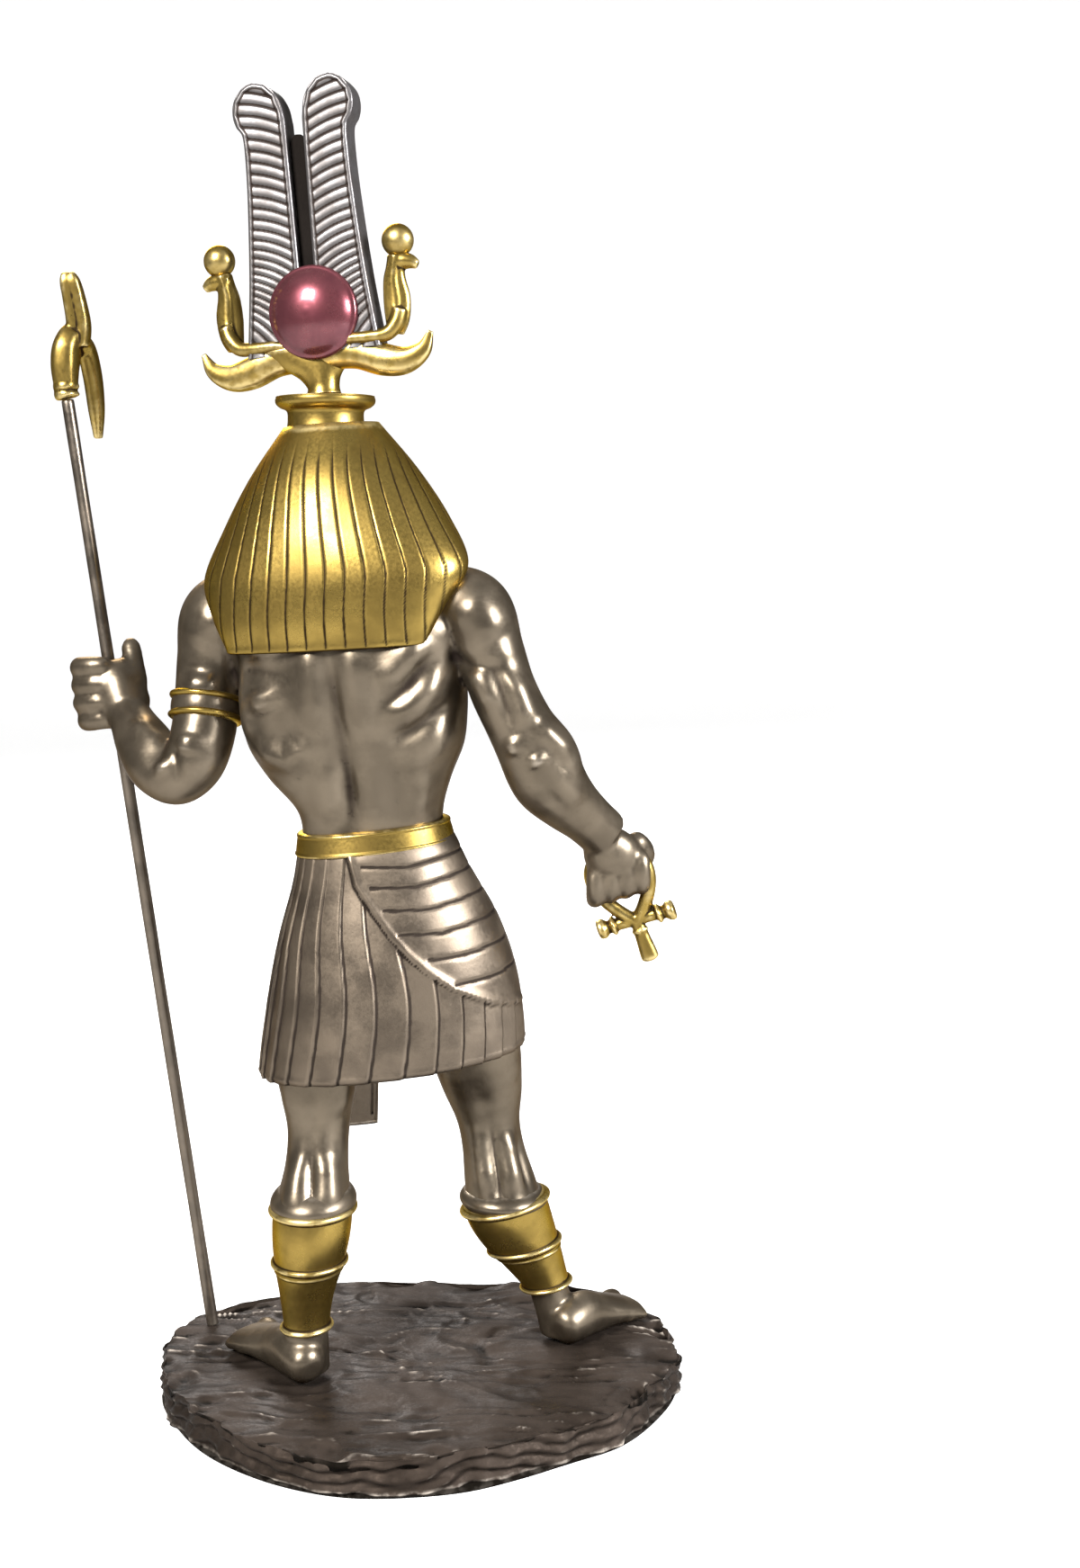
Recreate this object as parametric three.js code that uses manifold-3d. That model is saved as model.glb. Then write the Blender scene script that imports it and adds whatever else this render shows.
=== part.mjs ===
// A cast figurine of a crocodile-headed god, walking, with a tall staff and an ankh.
// Millimetres, +Z up. The figure faces -Y and its left hand is on the +X side.
// The origin is the middle of the flat underside of the base.

import * as THREE from "three";
import { mergeVertices } from "three/addons/utils/BufferGeometryUtils.js";
import Module from "manifold-3d";

const wasm = await Module();
wasm.setup();

const degree = Math.PI / 180;

// Driving sizes
const gap = 0.3;
const baseTop = 9;
const sole = baseTop + gap;
const rodRadius = 1.5;
const rodFoot = [55.4, -22.8];
const rodTop = [83.2, -24.4];
const rodTopHeight = 247.5;
const gripHeight = 175.2;
const gripLength = 50;
const headYaw = -14;
const crownYaw = -13;
const crownLean = 3.8;
const pelvisTilt = -0.086;
const crownFoot = [17.6, -3, 245];
const barbRows = 6;
const barbPitch = 5.6;
const ankhWire = 1.7;
const discHeight = 263.9;
const discRadius = 10.6;
const plumeDepth = 7;

// Colours of the finishes
const bronze = { color: 0x6b5a4c, roughness: 0.38, metalness: 0.85 };
const rock = { color: 0x4a3c33, roughness: 0.55, metalness: 0.7 };
const pewter = { color: 0x9b9a9a, roughness: 0.42, metalness: 0.85 };
const steel = { color: 0x5a554c, roughness: 0.35, metalness: 0.9 };
const gold = { color: 0xa98535, roughness: 0.35, metalness: 0.9 };

// The smooth value of one column of the stations, at a place counted in stations.
function columnAt(stations, column, place) {
  const last = stations.length - 1;
  const index = Math.min(Math.floor(place), last - 1);
  const part = place - index;
  const value = (i) => {
    if (i < 0) return 2 * stations[0][column] - stations[1][column];
    if (i > last) return 2 * stations[last][column] - stations[last - 1][column];
    return stations[i][column];
  };
  const [a, b, c, d] = [value(index - 1), value(index), value(index + 1), value(index + 2)];
  const square = 2 * a - 5 * b + 4 * c - d;
  const cube = 3 * b - a - 3 * c + d;
  return 0.5 * (2 * b + (c - a) * part + square * part ** 2 + cube * part ** 3);
}

// The station between the stations, at a place counted in stations.
function stationAt(stations, place) {
  return stations[0].map((_, column) => columnAt(stations, column, place));
}

// The two directions across a ring: level rings turn about Z, the others stand across the path.
function acrossRing(stations, place, across, turn) {
  const turned = new THREE.Quaternion();
  if (across === "level") {
    turned.setFromAxisAngle(new THREE.Vector3(0, 0, 1), turn * degree);
    return [new THREE.Vector3(1, 0, 0).applyQuaternion(turned), new THREE.Vector3(0, 1, 0).applyQuaternion(turned)];
  }
  const step = 0.02;
  const last = stations.length - 1;
  const before = new THREE.Vector3(...stationAt(stations, Math.max(place - step, 0)));
  const after = new THREE.Vector3(...stationAt(stations, Math.min(place + step, last)));
  const along = after.sub(before).normalize();
  const second = new THREE.Vector3(...across).projectOnPlane(along).normalize();
  const first = second.clone().cross(along);
  turned.setFromAxisAngle(along, turn * degree);
  return [first.applyQuaternion(turned), second.applyQuaternion(turned)];
}

// A closed skin over rings. A station is x, y, z, half width, half depth, turn in degrees.
// The outline multiplies the size of a ring, from the angle around it and the way along from 0 to 1.
function loft({ stations, sides, rings, across = "level", outline = () => 1, power = 1, tilt = 0 }) {
  const geometry = new THREE.CylinderGeometry(1, 1, 1, sides, rings);
  const position = geometry.getAttribute("position");
  const last = stations.length - 1;
  for (let i = 0; i < position.count; i += 1) {
    const along = Math.round((position.getY(i) + 0.5) * rings) / rings;
    const station = stationAt(stations, along * last);
    const [x, y, z, halfWidth, halfDepth, turn = 0] = station;
    const [first, second] = acrossRing(stations, along * last, across, turn);
    const cosine = position.getX(i);
    const sine = -position.getZ(i);
    const angle = Math.atan2(sine, cosine);
    const size = outline(angle, along);
    const wide = Math.sign(cosine) * Math.abs(cosine) ** power * halfWidth * size;
    const deep = Math.sign(sine) * Math.abs(sine) ** power * halfDepth * size;
    const point = new THREE.Vector3(x, y, z).addScaledVector(first, wide).addScaledVector(second, deep);
    point.z += tilt * (point.x - x);
    position.setXYZ(i, point.x, point.y, point.z);
  }
  return geometry;
}

// A closed geometry as a solid for joining and cutting.
function solid(geometry) {
  geometry.deleteAttribute("normal");
  geometry.deleteAttribute("uv");
  const merged = mergeVertices(geometry, 1e-3);
  const vertProperties = new Float32Array(merged.getAttribute("position").array);
  const triVerts = new Uint32Array(merged.getIndex().array);
  return new wasm.Manifold(new wasm.Mesh({ numProp: 3, vertProperties, triVerts }));
}

// One solid made of several that overlap.
function joined(solids) {
  return solids.reduce((whole, piece) => whole.add(piece));
}

// A named mesh from a solid.
function mesh(name, shape, finish) {
  const result = shape.getMesh();
  const geometry = new THREE.BufferGeometry();
  geometry.setAttribute("position", new THREE.BufferAttribute(new Float32Array(result.vertProperties), 3));
  geometry.setIndex(new THREE.BufferAttribute(new Uint32Array(result.triVerts), 1));
  geometry.computeVertexNormals();
  const made = new THREE.Mesh(geometry, new THREE.MeshStandardMaterial(finish));
  made.name = name;
  return made;
}

// An egg shape with its own half sizes and turn about Z.
function egg(centre, sizes, turn = 0, sides = 10) {
  const geometry = new THREE.SphereGeometry(1, sides, Math.round(sides / 2) + 1);
  geometry.rotateX(90 * degree);
  geometry.scale(...sizes);
  geometry.rotateZ(turn * degree);
  geometry.translate(...centre);
  return solid(geometry);
}

// A round limb along its stations, with rings square to its path.
function limb(stations, sides, rings, back = [0, 1, 0]) {
  return solid(loft({ stations, sides, rings, across: back }));
}

// A ring band around part of a level loft: it follows the same stations, a little proud of them.
function band(stations, from, to, proud, sides, tilt = 0) {
  const rounding = [[-0.6, 0], [1, 0.2], [1, 0.8], [-0.6, 1]];
  const rows = rounding.map(([out, part]) => {
    const row = stationAt(stations, from + (to - from) * part);
    row[3] += out * proud;
    row[4] += out * proud;
    return row;
  });
  return solid(loft({ stations: rows, sides, rings: rows.length - 1, tilt }));
}

// Shallow grooves side by side around a ring: 1 on the ridges and less in the grooves.
function grooves(count, depth, sharpness) {
  return (angle) => 1 - depth * Math.abs(Math.cos((angle * count) / 2)) ** sharpness;
}

// Torso from the belt to the neck
const torsoStations = [
  [7.6, 0, 132, 17, 13, 8],
  [8.3, 0, 140, 16.8, 12.4, 7],
  [9, 0.2, 148, 17.4, 12.4, 3],
  [11.2, 0.6, 156, 21.8, 13.8, -2],
  [12, 1, 164, 25.8, 15.8, -7],
  [12, 1.2, 172, 26.8, 17, -10],
  [12.4, 1.4, 180, 27.4, 17.4, -12],
  [13, 1.6, 188, 29, 17, -14],
  [13.6, 1.6, 195, 28.5, 15, -14],
  [14.4, 0.4, 201, 21, 12.4, -14],
  [14.8, -1.5, 207, 12, 11, -14],
  [15, -3, 214, 9, 9, -14],
];

function torsoOutline(angle, along) {
  const spine = 0.09 * Math.exp(-(((angle - 90 * degree) / 0.16) ** 2)) * Math.sin(Math.PI * Math.min(along * 1.35, 1));
  const chest = 0.05 * Math.exp(-(((angle + 90 * degree) / 0.16) ** 2)) * Math.sin(Math.PI * along);
  return 1 - spine - chest;
}

function torso() {
  return solid(loft({ stations: torsoStations, sides: 20, rings: 8, outline: torsoOutline, power: 0.86 }));
}

// Kilt, tilted with the pelvis, folding in under its hem
const kiltStations = [
  [5.1, 0, 90, 28.4, 19, 10],
  [5, 0, 87.8, 31.6, 22, 10],
  [4.6, 0, 104, 29.8, 20.8, 10],
  [5.4, 0, 119, 25.9, 18.4, 9],
  [7, 0, 132.5, 20.6, 15.4, 8],
  [8.2, 0, 142.5, 17.9, 13.4, 8],
];

function kilt() {
  const pleats = grooves(22, 0.035, 6);
  const outline = (angle, along) => 1 - (1 - pleats(angle)) * Math.min(1, 3 * (1 - along));
  return solid(loft({ stations: kiltStations, sides: 44, rings: 5, outline, power: 0.94, tilt: pelvisTilt }));
}

function belt() {
  const stations = [[8, 0, 139.2, 18.2, 13.8, 8], [8.4, 0, 144, 17.2, 12.9, 7]];
  return band(stations, 0, 1, 1.1, 20, pelvisTilt);
}

// The flap that hangs in front of the kilt
function apron() {
  const stations = [
    [10.4, -13.4, 140, 3.6, 2, 10],
    [11.4, -17.4, 124, 3.9, 2, 12],
    [13, -21, 106, 4.2, 2, 14],
    [14.8, -23.6, 90, 4.5, 2, 16],
    [15.8, -24.6, 70, 4.7, 1.9, 16],
    [16.2, -24.6, 62.4, 4.8, 1.6, 16],
  ];
  return solid(loft({ stations: stations.reverse(), sides: 12, rings: 4, power: 0.45 }));
}

// Legs, with level rings from the ankle up into the kilt
const leftLegStations = [
  [26.6, 8.4, 11, 5, 5.2, -30],
  [26.8, 8.2, 17, 5, 5.6, -30],
  [26.8, 8.2, 24, 5, 5.6, -20],
  [26.4, 9, 31, 6, 6.8, -10],
  [25.6, 10, 38, 7.6, 8.6, 0],
  [24.8, 10.6, 46, 8.8, 10, 0],
  [24.2, 9.6, 54, 8.9, 9.8, 0],
  [23.4, 7, 63, 7.6, 8.4, 0],
  [23, 5, 71, 7.5, 8.2, 0],
  [23, 4, 79, 8.9, 9.8, 0],
  [22.6, 3.2, 87, 10.4, 11.4, 0],
  [19, 2, 102, 11.8, 12.4, 0],
];
const rightLegStations = [
  [-35, -11.4, 11, 5, 5.2, 30],
  [-33.6, -12.4, 17, 4.9, 5.6, 26],
  [-31.4, -13, 24, 5.2, 5.8, 20],
  [-28, -12.4, 31, 7, 7.2, 10],
  [-24.4, -11.2, 38, 8.9, 9, 6],
  [-21.7, -10.6, 45, 9.7, 10, 0],
  [-20.2, -11.4, 52, 8.9, 9.6, 0],
  [-18.6, -13, 60, 7.8, 8.6, 0],
  [-17.4, -13.6, 67, 8, 8.6, 0],
  [-16, -12.2, 76, 10.1, 10, 0],
  [-13.6, -8, 90, 11.9, 11.8, 0],
  [-9.4, -4, 104, 12.2, 12.6, 0],
];

function leg(stations) {
  return solid(loft({ stations, sides: 10, rings: 10 }));
}

// A greave: a proud sleeve on the shin with a rim above, one below the calf and one at the ankle
function greave(stations, ankle, middle, top, tilt) {
  const rows = [
    [ankle - 0.1, -0.6], [ankle, 1.3], [ankle + 0.14, 1.3], [ankle + 0.22, 0.5],
    [middle - 0.18, 0.6], [middle - 0.08, 1.4], [middle + 0.08, 1.4], [middle + 0.18, 0.6],
    [top - 0.36, 0.6], [top - 0.26, 1.6], [top - 0.06, 1.6], [top + 0.06, -0.6],
  ].map(([place, proud]) => {
    const row = stationAt(stations, place);
    row[3] += proud;
    row[4] += proud;
    return row;
  });
  return solid(loft({ stations: rows, sides: 10, rings: rows.length - 1, tilt }));
}

// A bare foot: the heel, the instep and the ball along one path, then five toes
function foot({ heel, yaw, length, side }) {
  const forward = new THREE.Vector3(Math.sin(yaw * degree), -Math.cos(yaw * degree), 0);
  const outward = new THREE.Vector3(side * Math.cos(yaw * degree), side * Math.sin(yaw * degree), 0);
  const place = (along, out, height) => [
    heel[0] + forward.x * along * length + outward.x * out,
    heel[1] + forward.y * along * length + outward.y * out,
    height,
  ];
  const shape = [
    [0, 0, 4.4, 2.6, 2.4],
    [0.05, 0, 4.8, 4.6, 4.6],
    [0.16, 0, 5.6, 5.4, 5.6],
    [0.3, 0.2, 5.8, 5.4, 5.9],
    [0.45, 0, 4.8, 5.9, 5],
    [0.6, 0, 3.9, 7, 4],
    [0.74, 0.2, 3, 7.6, 3.1],
    [0.84, 0.4, 2.4, 6.8, 2.5],
    [0.88, 0.4, 2.2, 4, 1.6],
  ];
  const stations = shape.map(([along, out, rise, wide, high]) => [...place(along, out, sole + rise), wide, high, 0]);
  const toes = [
    [-5, 1, 2.3],
    [-1.6, 0.985, 1.75],
    [1.3, 0.955, 1.6],
    [4, 0.92, 1.5],
    [6.4, 0.875, 1.45],
  ].map(([out, reach, radius]) => limb(
    [
      [...place(reach - 0.24, out * 0.9, sole + 2.4), radius, radius, 0],
      [...place(reach - 0.1, out, sole + 2.2), radius * 1.05, radius * 0.95, 0],
      [...place(reach - 0.04, out * 1.02, sole + 1.6), radius * 0.95, radius * 0.8, 0],
      [...place(reach, out * 1.03, sole + 1.3), radius * 0.3, radius * 0.3, 0],
    ],
    5,
    2,
    [0, 0, 1],
  ));
  const ground = new THREE.BoxGeometry(4 * length, 4 * length, 2 * sole);
  ground.translate(heel[0], heel[1], 0);
  return joined([limb(stations, 8, 7, [0, 0, 1]), ...toes]).subtract(solid(ground));
}

// Left arm, bent at the elbow to hold the staff out in front
const leftArmStations = [
  [36, -3, 196, 9, 9, 0],
  [43.8, -5.4, 193.5, 9.8, 9.8, 0],
  [46.4, -5, 184, 8.4, 8.8, 0],
  [47.6, -3, 175, 7.7, 8.4, 0],
  [48.4, -0.6, 167, 7.6, 8.2, 0],
  [50.4, 1.4, 160, 7.2, 7.6, 0],
  [55, 0, 156.2, 6.8, 7, 0],
  [60.4, -5, 158.6, 7.4, 7.6, 0],
  [65, -11, 163.4, 6.8, 6.8, 0],
  [69, -16.6, 168.6, 5.4, 5.6, 0],
  [72.4, -21, 173, 5.6, 5.4, 0],
];

// Right arm, hanging out and back, its forearm carried forward again
const rightArmStations = [
  [-9, 5, 197, 9, 9, 0],
  [-16.6, 8.4, 195, 9, 9.6, 0],
  [-20.2, 10, 186, 8, 8.6, 0],
  [-23.2, 11, 177, 7.7, 8.2, 0],
  [-27.2, 11.6, 168.5, 7.9, 7.9, 0],
  [-31.2, 11.4, 161.5, 9.1, 8, 0],
  [-33.6, 9.4, 155.6, 8.8, 7.8, 0],
  [-37.6, 5, 150.2, 7.5, 7, 0],
  [-42.4, 0.4, 145.2, 6.4, 5.8, 0],
  [-46.8, -3.6, 140.6, 6.2, 5.4, 0],
];

function arm(stations) {
  return limb(stations, 10, 10);
}

// Two rings around the left upper arm
function armband() {
  const ring = (place) => {
    const rows = [[-0.5, -0.26], [1, -0.12], [1, 0.12], [-0.5, 0.26]].map(([out, shift]) => {
      const row = stationAt(leftArmStations, place + shift);
      row[3] += out * 1.1;
      row[4] += out * 1.1;
      return row;
    });
    return solid(loft({ stations: rows, sides: 10, rings: 3, across: [0, 1, 0] }));
  };
  return joined([ring(3.05), ring(3.6)]);
}

// A direction up the staff, and the place on it at a height
const rodAxis = new THREE.Vector3(rodTop[0] - rodFoot[0], rodTop[1] - rodFoot[1], rodTopHeight - baseTop).normalize();

function onRod(height) {
  const part = (height - baseTop) / rodAxis.z;
  return new THREE.Vector3(rodFoot[0], rodFoot[1], baseTop).addScaledVector(rodAxis, part);
}

// A round bar between two points
function bar(from, to, radius, sides) {
  const axis = to.clone().sub(from);
  const geometry = new THREE.CylinderGeometry(radius, radius, axis.length(), sides, 1);
  geometry.applyQuaternion(new THREE.Quaternion().setFromUnitVectors(new THREE.Vector3(0, 1, 0), axis.normalize()));
  geometry.translate(...from.clone().add(to).multiplyScalar(0.5).toArray());
  return solid(geometry);
}

// Four curled fingers side by side: rings that swell at each finger and close in between two
function knuckles(place, wide, deep, pitch, across) {
  const stations = [];
  for (let finger = 0; finger < 4; finger += 1) {
    const middle = (finger - 1.5) * pitch;
    const size = 1 - 0.05 * Math.abs(finger - 1.2);
    stations.push([...place(middle - pitch * 0.5), wide * size * 0.86, deep * size * 0.86, 0]);
    stations.push([...place(middle - pitch * 0.2), wide * size, deep * size, 0]);
    stations.push([...place(middle + pitch * 0.25), wide * size, deep * size, 0]);
  }
  stations.push([...place(pitch * 2), wide * 0.7, deep * 0.7, 0]);
  return solid(loft({ stations, sides: 8, rings: stations.length - 1, across, power: 0.8 }));
}

// The left fist: the heel of the hand, four fingers curled around the staff and a thumb up along it
function leftFist() {
  const centre = onRod(gripHeight);
  const at = (x, y, z) => [centre.x + x, centre.y + y, centre.z + z];
  const heel = limb([
    [...at(-6, 4.4, -8), 5, 5, 0],
    [...at(-3, 3.6, -3), 6.4, 6.2, 0],
    [...at(-1.4, 2.4, 3), 6, 5.6, 0],
    [...at(-1, 1.8, 7), 4.4, 4, 0],
  ], 8, 4);
  const fingers = knuckles((height) => at(1.4 + height * 0.12, -0.8, height - 0.8), 7.6, 7, 4.4, "level");
  const thumb = limb([
    [...at(-4.4, 4.4, -2), 3.6, 3.4, 0],
    [...at(-6, 2.6, 3.4), 3.4, 3.2, 0],
    [...at(-5.4, -0.6, 8), 2.5, 2.5, 0],
    [...at(-4.4, -2.4, 11.6), 2.2, 2, 0],
    [...at(-4, -2.8, 13), 0.9, 0.8, 0],
  ], 6, 4);
  return joined([heel, fingers, thumb]);
}

// Ankh: a drop-shaped loop, a crossbar with collars and a stem, in a leaning plane
const ankhJunction = new THREE.Vector3(-54.7, -8, 118.5);
const ankhAcross = new THREE.Vector3(-0.955, 0.1, 0.28).normalize();
const ankhUp = new THREE.Vector3(0.34, 0, 0.94).normalize();
const ankhFace = ankhAcross.clone().cross(ankhUp).normalize();

function onAnkh(across, up) {
  return ankhJunction.clone().addScaledVector(ankhAcross, across).addScaledVector(ankhUp, up);
}

// A place on the middle line of the loop, a drop with its point down, at a turn from 0 to 1
function onDrop(turn) {
  const angle = turn * 2 * Math.PI;
  return new THREE.Vector2(9.1 * Math.sin(angle) * Math.abs(Math.sin(angle / 2)), 8.7 - 9.3 * Math.cos(angle));
}

function ankhLoop(radius) {
  const step = 0.01;
  const geometry = new THREE.TorusGeometry(1, 0.5, 6, 16);
  const position = geometry.getAttribute("position");
  for (let i = 0; i < position.count; i += 1) {
    const turn = Math.atan2(position.getY(i), position.getX(i)) / (2 * Math.PI);
    const out = 2 * radius * (Math.hypot(position.getX(i), position.getY(i)) - 1);
    const along = onDrop(turn + step).sub(onDrop(turn - step)).normalize();
    const place = onDrop(turn).add(new THREE.Vector2(along.y, -along.x).multiplyScalar(out));
    const point = onAnkh(place.x, place.y).addScaledVector(ankhFace, 2 * radius * position.getZ(i));
    position.setXYZ(i, point.x, point.y, point.z);
  }
  return geometry;
}

function ankh() {
  const half = [[1.5, 5], [2.3, 5.8], [1.6, 7], [2.4, 8], [2.3, 9.8], [0, 9.8]];
  const other = half.map(([radius, along]) => [radius, -along]).reverse();
  const profile = [...other, ...half].map(([radius, along]) => new THREE.Vector2(radius, along));
  const crossbar = new THREE.LatheGeometry(profile, 6);
  crossbar.applyQuaternion(new THREE.Quaternion().setFromUnitVectors(new THREE.Vector3(0, 1, 0), ankhAcross));
  crossbar.translate(...ankhJunction.toArray());
  const stem = limb([
    [...onAnkh(0, 1).toArray(), 1.6, 1.6, 0],
    [...onAnkh(0, -4).toArray(), 1.9, 1.7, 0],
    [...onAnkh(0, -9.4).toArray(), 2.2, 1.8, 0],
    [...onAnkh(0, -10.8).toArray(), 1.2, 1, 0],
  ], 8, 4);
  return joined([solid(ankhLoop(ankhWire)), solid(crossbar), stem]);
}

// The right fist: the back of the hand, four fingers curled through the ankh's loop and a thumb
function rightFist() {
  const centre = [-50.2, -7.6, 133.8];
  const at = (x, y, z) => [centre[0] + x, centre[1] + y, centre[2] + z];
  const back = limb([
    [...at(4.4, 4.4, 6), 5, 4.8, 0],
    [...at(2, 3, 3), 6.6, 5.4, 0],
    [...at(0, 1.4, -1), 7.4, 5.2, 0],
    [...at(-0.6, -0.4, -5), 6.4, 4.2, 0],
  ], 8, 4);
  const fingers = knuckles((out) => at(-out * 0.96, -1.2, -4 + out * 0.27), 5.6, 5.4, 3.9, [0, 1, 0]);
  const thumb = limb([
    [...at(-3, 0, 5), 2.8, 2.8, 0],
    [...at(-6.6, -2.2, 1.4), 2.7, 2.7, 0],
    [...at(-6.4, -5.6, -2), 2.3, 2.3, 0],
    [...at(-2.6, -8, -3.6), 2, 2, 0],
    [...at(-0.6, -8.2, -3.8), 0.8, 0.8, 0],
  ], 6, 4, [0, 0, 1]);
  return joined([back, fingers, thumb]);
}

// Nemes headcloth: wide over the shoulders, straight across the back, with fine upright grooves
const nemesStations = [
  [17.2, 14, 186.8, 23.4, 6.6, -12],
  [16.8, 11.8, 195, 27.6, 9.8, -12],
  [15.3, 7.2, 204.4, 31.6, 14.6, -12],
  [15.3, 2.6, 215.4, 27.2, 16.8, -13],
  [15.9, -0.8, 227, 20.2, 15.2, -14],
  [16.4, -3, 238.4, 11.4, 9.6, -14],
];

function nemes() {
  const cuts = grooves(30, 0.036, 4);
  const outline = (angle, along) => 1 - (1 - cuts(angle)) * Math.min(1, 4 * (1 - along));
  return solid(loft({ stations: nemesStations, sides: 60, rings: 5, outline, tilt: -0.05 }));
}

// The two lappets that hang over the chest
function lappet(side) {
  const turn = new THREE.Vector3(Math.cos(headYaw * degree), Math.sin(headYaw * degree), 0);
  const front = new THREE.Vector3(Math.sin(headYaw * degree), -Math.cos(headYaw * degree), 0);
  const rows = [
    [15, 2, 210, 5, 3.4],
    [15.4, 8.6, 203, 5.6, 3],
    [14.4, 13.6, 195, 5.8, 2.4],
    [13.2, 16.6, 186, 5.6, 1.9],
    [12.4, 18, 176, 5.2, 1.7],
    [12.2, 18, 172.6, 5, 1.5],
  ];
  const stations = rows.map(([out, ahead, height, wide, thick]) => [
    14 + turn.x * out * side + front.x * ahead,
    0.6 + turn.y * out * side + front.y * ahead,
    height,
    wide,
    thick,
    headYaw + side * 18,
  ]);
  return solid(loft({ stations: stations.reverse(), sides: 10, rings: 5, power: 0.6 }));
}

// The collar drum on top of the head and its flange
function modius() {
  const profile = [[0, 236], [9.2, 236], [8.9, 239.6], [9.1, 241.6], [11.4, 243], [11.7, 244], [11.4, 245], [0, 245]];
  const points = profile.map(([radius, height]) => new THREE.Vector2(radius, height));
  const geometry = new THREE.LatheGeometry(points, 18);
  geometry.rotateX(90 * degree);
  geometry.translate(crownFoot[0], crownFoot[1], 0);
  return solid(geometry);
}

// Crocodile head: the skull and upper jaw, the lower jaw, brow ridges, nostrils and teeth
function onHead(ahead, out, height) {
  const yaw = headYaw * degree;
  return [
    15 + Math.sin(yaw) * ahead + Math.cos(yaw) * out,
    -6 - Math.cos(yaw) * ahead + Math.sin(yaw) * out,
    height,
  ];
}

function crocodile() {
  const upper = [
    [-2, 0, 222, 11, 11],
    [8, 0, 222.6, 11.4, 10],
    [15, 0, 222.4, 10.6, 8],
    [21, 0, 221, 8.6, 6],
    [29, 0, 219.2, 6.8, 4.6],
    [38, 0, 217.8, 6, 3.7],
    [45, 0, 217.4, 6.2, 3.8],
    [49, 0, 217.4, 5.4, 3.4],
    [51, 0, 217, 2.6, 1.8],
  ].map(([ahead, out, height, wide, high]) => [...onHead(ahead, out, height), wide, high, 0]);
  const lower = [
    [0, 0, 213, 8.4, 7],
    [10, 0, 212.6, 8, 5.4],
    [20, 0, 213, 6.8, 3.6],
    [32, 0, 213.2, 5.2, 2.4],
    [43, 0, 213.6, 4.8, 2.1],
    [47.4, 0, 213.8, 3.4, 1.5],
  ].map(([ahead, out, height, wide, high]) => [...onHead(ahead, out, height), wide, high, 0]);
  const sides = [-1, 1];
  const brows = sides.map((side) => egg(onHead(12, side * 6.6, 230), [2.8, 4.8, 3], headYaw, 6));
  const nostrils = sides.map((side) => egg(onHead(47, side * 2.4, 220.6), [1.9, 2.4, 1.6], headYaw, 6));
  const teeth = sides.flatMap((side) => [0, 1, 2].map((index) => {
    const ahead = 24 + index * 7;
    const out = side * (5.9 - index * 0.5);
    return egg(onHead(ahead, out, 215.4), [1, 1.3, 2.2], headYaw, 4);
  }));
  return joined([limb(upper, 10, 9, [0, 0, 1]), limb(lower, 8, 5, [0, 0, 1]), ...brows, ...nostrils, ...teeth]);
}

// Everything that is cast in one with the body
function figure() {
  const body = joined([
    torso(),
    kilt(),
    belt(),
    apron(),
    leg(leftLegStations),
    leg(rightLegStations),
    greave(leftLegStations, 1.7, 4.2, 6, 0),
    greave(rightLegStations, 1.9, 3.5, 5.3, -0.2),
    foot({ heel: [24.8, 15], yaw: 35, length: 38, side: 1 }),
    foot({ heel: [-34.4, -5.6], yaw: -39, length: 32.5, side: -1 }),
    arm(leftArmStations),
    arm(rightArmStations),
    armband(),
    leftFist(),
    rightFist(),
  ]);
  const dressed = joined([body, nemes(), lappet(1), lappet(-1), crocodile(), modius()]);
  const [low, high] = [onRod(gripHeight - gripLength / 2), onRod(gripHeight + gripLength / 2)];
  return dressed.subtract(bar(low, high, rodRadius + gap, 12)).subtract(solid(ankhLoop(ankhWire + gap)));
}

// Base: a rough oval of rock with low ledges and a flat underside
const baseRadii = [
  65.5, 61, 58, 55.5, 54, 53, 51.5, 51, 50.5, 52, 57, 60.5,
  64.5, 66.5, 66, 63, 56, 50, 51, 53.5, 57, 60, 66.5, 67,
];

function base() {
  const rim = baseRadii.map((radius, index) => {
    const angle = (index / baseRadii.length) * Math.PI * 2;
    return new THREE.Vector3(radius * Math.cos(angle), radius * Math.sin(angle), 0);
  });
  const curve = new THREE.CatmullRomCurve3(rim, true, "catmullrom", 0.5);
  const sides = 40;
  const layers = [[0.985, 0], [1, 2.4], [1, 5.8], [0.985, 8], [0.93, baseTop], [0.7, baseTop]];
  const geometry = new THREE.CylinderGeometry(1, 1, 1, sides, layers.length - 1);
  const position = geometry.getAttribute("position");
  for (let i = 0; i < position.count; i += 1) {
    const radius = Math.hypot(position.getX(i), position.getZ(i));
    const turn = Math.atan2(-position.getZ(i), position.getX(i)) / (2 * Math.PI);
    const layer = Math.round((position.getY(i) + 0.5) * (layers.length - 1));
    const edge = curve.getPoint((turn + 1) % 1);
    const [scale, height] = layers[layer];
    const rough = height > 0 && height < baseTop ? 0.6 * Math.sin(turn * 40) + 0.5 * Math.sin(turn * 88 + layer) : 0;
    const reach = radius < 0.5 ? 0 : scale;
    position.setXYZ(i, edge.x * reach, edge.y * reach, height + (layer === 0 ? 0 : Math.min(rough, baseTop - height)));
  }
  return solid(geometry);
}

// Staff: a straight round rod from the rock up into the collar of its head
function rod() {
  return bar(onRod(baseTop + gap), onRod(rodTopHeight - 1), rodRadius, 12);
}

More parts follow.
